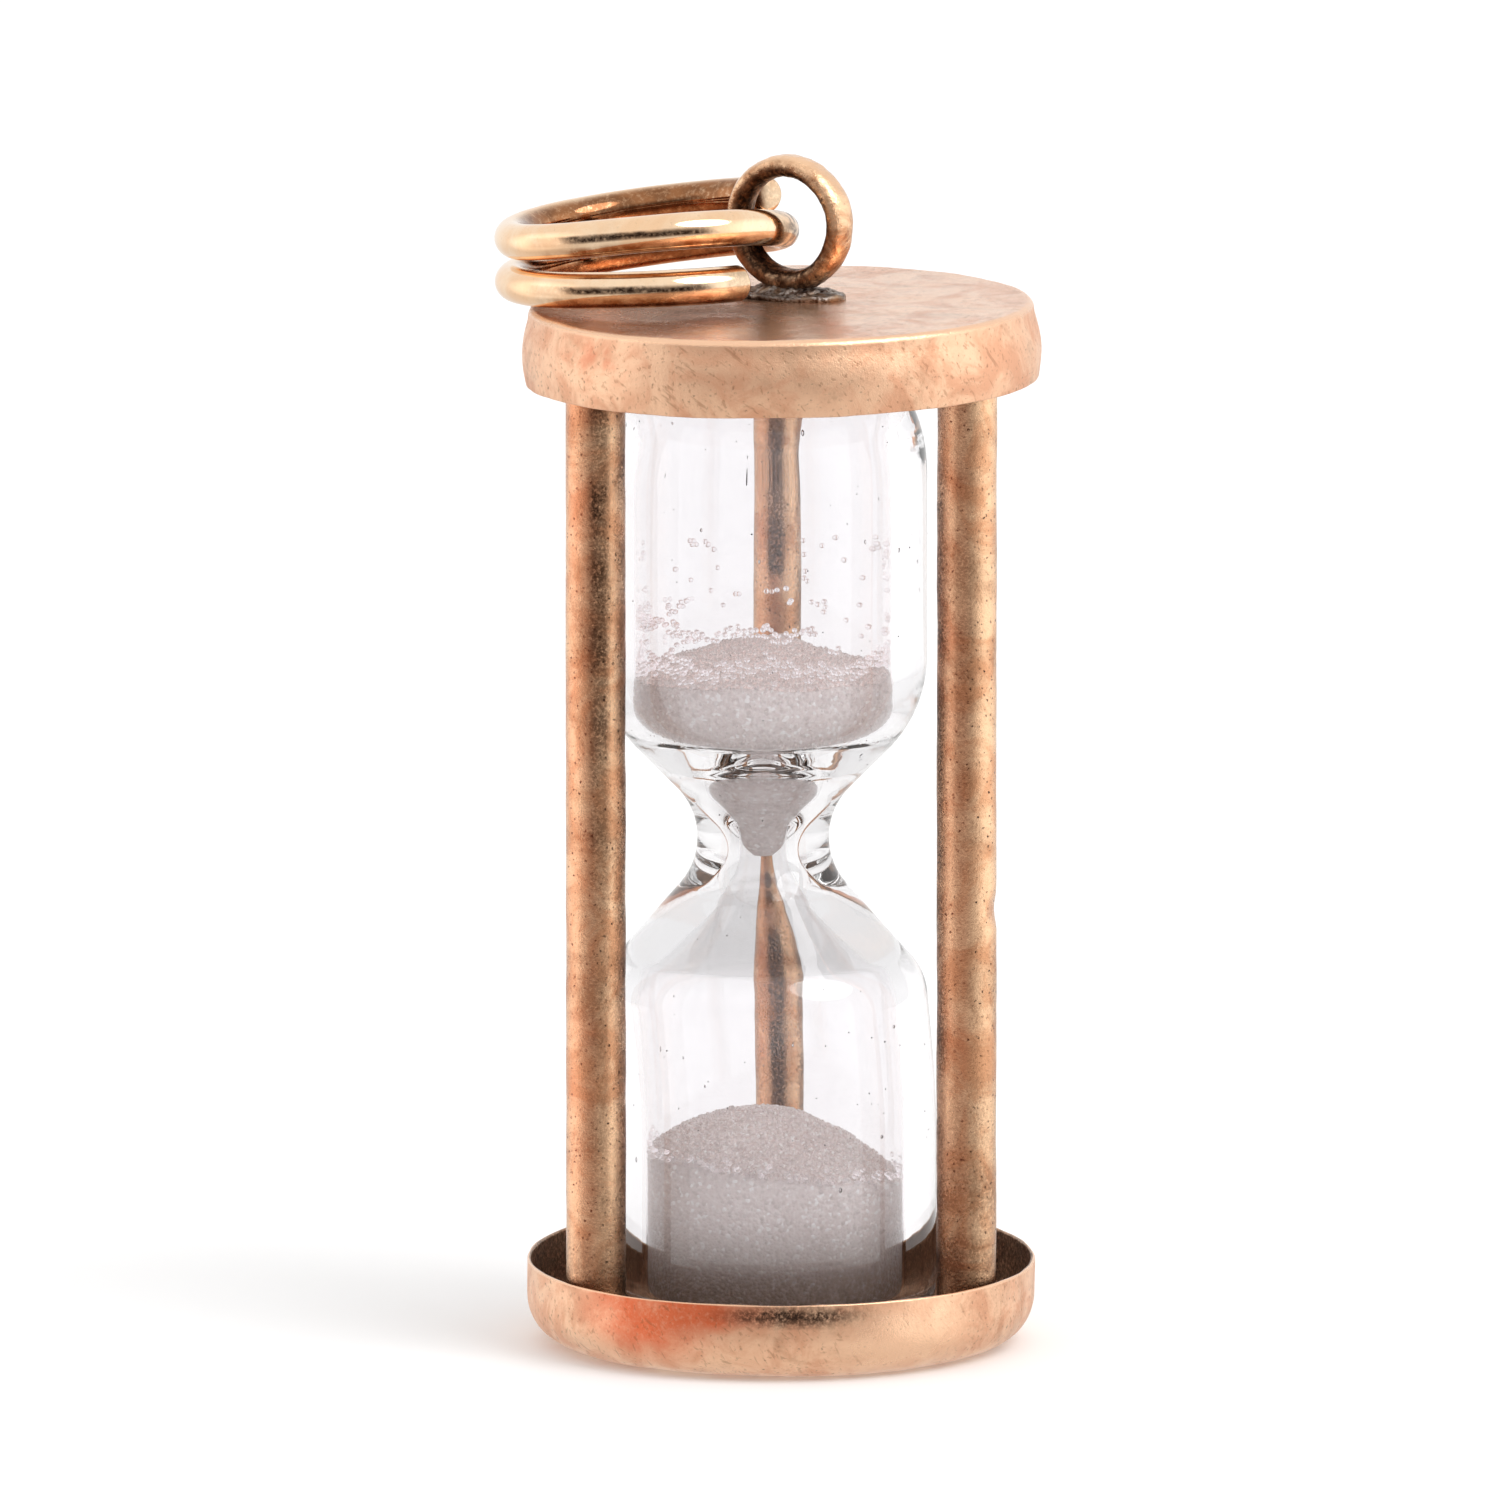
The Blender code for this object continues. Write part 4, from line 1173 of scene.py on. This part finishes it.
def make_bail_solder(material):
    """A low oval mound, grainy, and darkest at its left, with dirt and painted shade."""
    low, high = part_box("bail_solder")
    steps = 20
    outline = [(0.0, 0.0)]
    for number in range(steps + 1):
        angle = math.pi / 2.0 * number / steps
        outline.append((math.cos(angle) if number < steps else 0.0, math.sin(angle) ** 1.7))
    verts, faces = lathe(evenly(outline, 0.05), 96)
    verts = verts * np.array((BAIL_SOLDER_LENGTH, BAIL_SOLDER_WIDTH, high.z - low.z))
    verts[:, 2] -= BAIL_OUTER_RADIUS + 0.08 * MM
    verts = in_frame(BAIL_FRAME, verts)
    lump = new_piece("bail_foot_solder", verts, faces, material, "root", "solder", "bail_solder")
    roughen(lump, (0.13, 0.42, 14.0, 4), (0.05, 0.12, 15.0, 4))
    points = points_of(lump)
    # Darker at the left: dirt with painted shade
    left = fade(points[:, 0], -1.0 * MM, 0.3 * MM)
    hollows = smooth_step(clouds_at(points, 0.3 * MM, 16.0), 0.3, 0.6)
    paint(lump, "burn", (0.35 + 0.6 * left) * hollows)


def ring_climb(turned):
    """Height of the ring's wire above its lower end: its coils spread where they pass the bail."""
    turns = turned / TURN
    away = min(1.0, abs(turns - RING_SPREAD_AT) / RING_SPREAD_REACH)
    spread = RING_SPREAD * math.cos(math.pi / 2.0 * away) ** 2
    last = max(0.0, 1.0 - (RING_TURNS - turns) / RING_END_STRETCH)
    return RING_PITCH * turns + spread - RING_END_PRESS * last ** 2


def ring_centre(turned):
    """Centre of the ring's wire in the lid's frame, after a turn from its lower end."""
    angle = RING_START - turned
    rise = RING_RISE_RIGHT * math.cos(angle) - RING_RISE_FRONT * math.sin(angle)
    z = rise + ring_climb(turned)
    return Vector((RING_RADIUS * math.cos(angle), RING_RADIUS * math.sin(angle), z))


def make_split_ring(material):
    count = 340
    sides = 48
    end_room = END_REACH * RING_WIRE_RADIUS / RING_RADIUS
    centres = []
    frames = []
    for number in range(count + 1):
        turned = end_room + (TURN * RING_TURNS - 2.0 * end_room) * number / count
        centres.append(ring_centre(turned) + RING_PLACE)
        tangent = ring_centre(turned + 0.01) - ring_centre(turned - 0.01)
        angle = RING_START - turned
        outward = Vector((math.cos(angle), math.sin(angle), 0.0))
        up = tangent.cross(outward).normalized()
        across = up.cross(tangent).normalized()
        frames.append((across, up))

    verts, faces = sweep(centres, frames, lambda _angle: RING_WIRE_RADIUS, sides, False, 5)
    verts = in_frame(LID_FRAME, verts)
    ring = new_piece("split_ring_wire", verts, faces, material, "ring", "polished_gold",
                     "split_ring")
    roughen(ring, (0.012, 1.3, 17.0, 2))
    points = points_of(ring)
    middle = in_frame(LID_FRAME, np.array([tuple(RING_PLACE)]))[0]
    offset = points - middle
    # inner: the ring's inside gets a painted brown reflection of the gold and some painted shade
    inner = fade(np.hypot(offset[:, 0], offset[:, 1]), RING_RADIUS - 0.26 * MM,
                 RING_RADIUS + 0.02 * MM)
    uneven = smooth_step(clouds_at(points, 0.45 * MM, 18.0), 0.35, 0.65)
    # Degrees round the ring, -90 at the front, and degrees up the wire's section from outside
    heading = np.degrees(np.arctan2(offset[:, 1], offset[:, 0]))
    place = np.arange(len(points))
    row = np.minimum(place // sides, count)
    slope = np.degrees(TURN * (place % sides) / sides)
    slope = np.where(slope > 180.0, slope - 360.0, slope)
    # A dark stripe along the front of the wire: a painted reflection of the dark opening in front
    reflection_stripe = band_at(heading + 0.25 * slope, -93.0, 22.0, 33.0)
    reflection_stripe *= band_at(slope - 4.0 * uneven, 4.0, 6.0, 13.0)
    # Lower front of the wire: a painted brown reflection of the gold lid below
    under = band_at(heading, -86.0, 30.0, 60.0)
    under *= smooth_step(-slope, 8.0, 30.0) * fade(-slope, 60.0, 100.0)
    # A short band in the reflected brown: a painted reflection
    pink = band_at(heading, -128.0, 8.0, 16.0) * band_at(slope, 2.0, 10.0, 22.0)
    # Darker near the bail: grime with painted shade
    grime_and_shade = near(points, tuple(PIVOT), mm(1.7, 2.0, 2.4))
    grime_and_shade *= smooth_step(clouds_at(points, 0.22 * MM, 19.0), 0.34, 0.58)
    ends = np.where((row < 6) | (row > count - 6), 0.35, 0.0)
    paint(ring, "burn", np.maximum.reduce([reflection_stripe, inner * 0.35 * uneven, grime_and_shade, ends]))
    paint(ring, "flush_and_reflection", np.maximum.reduce([inner * 0.95, under * (0.60 + 0.4 * uneven),
                                            pink * 0.35]))


# ---- stage, light and camera
def make_floor():
    """A pale disc, which reflections don't show."""
    radius = 3.0
    count = 96
    mesh = bpy.data.meshes.new("floor")
    corners = [(radius * math.cos(TURN * n / count), radius * math.sin(TURN * n / count), 0.0)
               for n in range(count)]
    mesh.from_pydata(corners, [], [tuple(range(count))])
    floor = put("floor", mesh)
    mesh.materials.append(material_tree("floor").dress({
        "Base Color": FLOOR_GREY, "Roughness": 1.0, "Specular IOR Level": 0.0,
        "Emission Color": WHITE, "Emission Strength": FLOOR_GLOW_STRENGTH}))
    floor.visible_glossy = False


def make_world():
    """A white tent with a grey wall at the front, round a small darker opening.

    Metal reflects the wall. The camera and what is seen through glass get plain white instead.
    """
    world = bpy.data.worlds.new("tent")
    bpy.context.scene.world = world
    tree = Tree(world)
    direction = tree.add("TexCoord", {}).outputs["Generated"]
    parts = tree.add("SeparateXYZ", {"Vector": direction}).outputs
    up = parts["Z"]
    ahead = tree.maths("ADD", tree.times(parts["Y"], -1.0), tree.times(parts["X"], -0.15))
    wall = tree.times(tree.step(ahead, 0.45, 0.70),
                      tree.times(tree.step(up, -0.46, -0.16), tree.step(up, 0.55, 0.28)))
    opening = tree.times(tree.step(ahead, 0.70, 0.92),
                         tree.times(tree.step(up, -0.02, 0.08), tree.step(up, 0.30, 0.18)))
    sides = tree.step(tree.maths("ABSOLUTE", parts["X"]), 0.70, 0.95, 1.0, 1.45)
    colour = tree.blend(tree.step(up, -0.5, 0.0), TENT_LOW, WHITE)
    colour = tree.blend(1.0, colour, sides, "MULTIPLY")
    path = tree.add("LightPath", {}).outputs
    seen = tree.maths("MAXIMUM", path["Is Camera Ray"], path["Is Transmission Ray"])
    colour = tree.layers(colour, (wall, TENT_WALL), (opening, TENT_OPENING), (seen, WHITE))
    background = tree.nodes["Background"]
    tree.feed(background.inputs["Color"], colour)
    background.inputs["Strength"].default_value = 1.0


def make_light(name, place, size, power, aim):
    data = bpy.data.lights.new(name, "AREA")
    data.shape = "DISK"
    data.size = size
    data.energy = power
    light = put(name, data)
    light.location = place
    light.rotation_euler = (aim - Vector(place)).to_track_quat("-Z", "Y").to_euler()


def make_camera():
    elevation = math.radians(9.5)
    distance = 0.80
    frame_width = 34.2 * MM
    aim = Vector((-0.71, 0.0, 13.66)) * MM
    data = bpy.data.cameras.new("camera")
    data.sensor_width = 36.0
    data.lens = data.sensor_width * distance / frame_width
    camera = put("camera", data)
    back = Vector((0.0, -math.cos(elevation), math.sin(elevation)))
    camera.location = aim + back * distance
    camera.rotation_euler = (-back).to_track_quat("-Z", "Y").to_euler()
    bpy.context.scene.camera = camera


def main():
    satin = worn_gold("gold", CAP_CLEAN, CAP_WORN, mottle=0.80, roughness=(0.36, 0.50),
                      grain_depth=0.010 * MM, tarnish=0.35, pitting=0.45, scratch=0.004 * MM,
                      speckle=11.0, metallic=0.85, polished=0.24)
    rods = worn_gold("rod_gold", GOLD_CLEAN, GOLD_WORN, mottle=0.80, roughness=(0.12, 0.22),
                     grain_depth=0.013 * MM, tarnish=0.55, pitting=1.3, speckle=15.0)
    bail = worn_gold("bail_gold", GOLD_CLEAN, BAIL_WORN, mottle=1.3, roughness=(0.16, 0.28),
                     grain_depth=0.018 * MM, tarnish=0.9, pitting=0.8)
    polished = worn_gold("polished_gold", RING_CLEAN, RING_WORN, mottle=0.5,
                         roughness=(0.05, 0.09), grain_depth=0.0012 * MM, tarnish=0.12,
                         pitting=0.10, flush_and_reflection_colour=RING_REFLECTED_BROWN)
    solder = solder_metal()
    glass = vial_glass()
    sand = bead_sand()

    make_camera()
    make_floor()
    make_world()
    aim = Vector((0.0, 0.0, 0.013))
    make_light("key", (0.35, -0.25, 0.45), 0.45, 1.6, aim)

    make_bottom_cap(satin)
    make_top_cap(satin)
    for number, name in enumerate(ROD_NAMES):
        make_rod(name, 20.0 + 5.0 * number, rods)
        side = name.split("_")[1]
        make_solder(side, "lower", 40.0 + 5.0 * number, solder)
        make_solder(side, "upper", 60.0 + 5.0 * number, solder)
    make_vial(glass)
    make_vial_seal(glass)
    make_sand(sand, clear_bead())
    make_specks(dust())
    make_bail(bail)
    make_bail_solder(solder)
    make_split_ring(polished)

    scene = bpy.context.scene
    scene.view_settings.view_transform = "Standard"
    scene.cycles.max_bounces = 32
    scene.cycles.glossy_bounces = 16
    scene.cycles.transmission_bounces = 32
    scene.cycles.diffuse_bounces = 6


main()
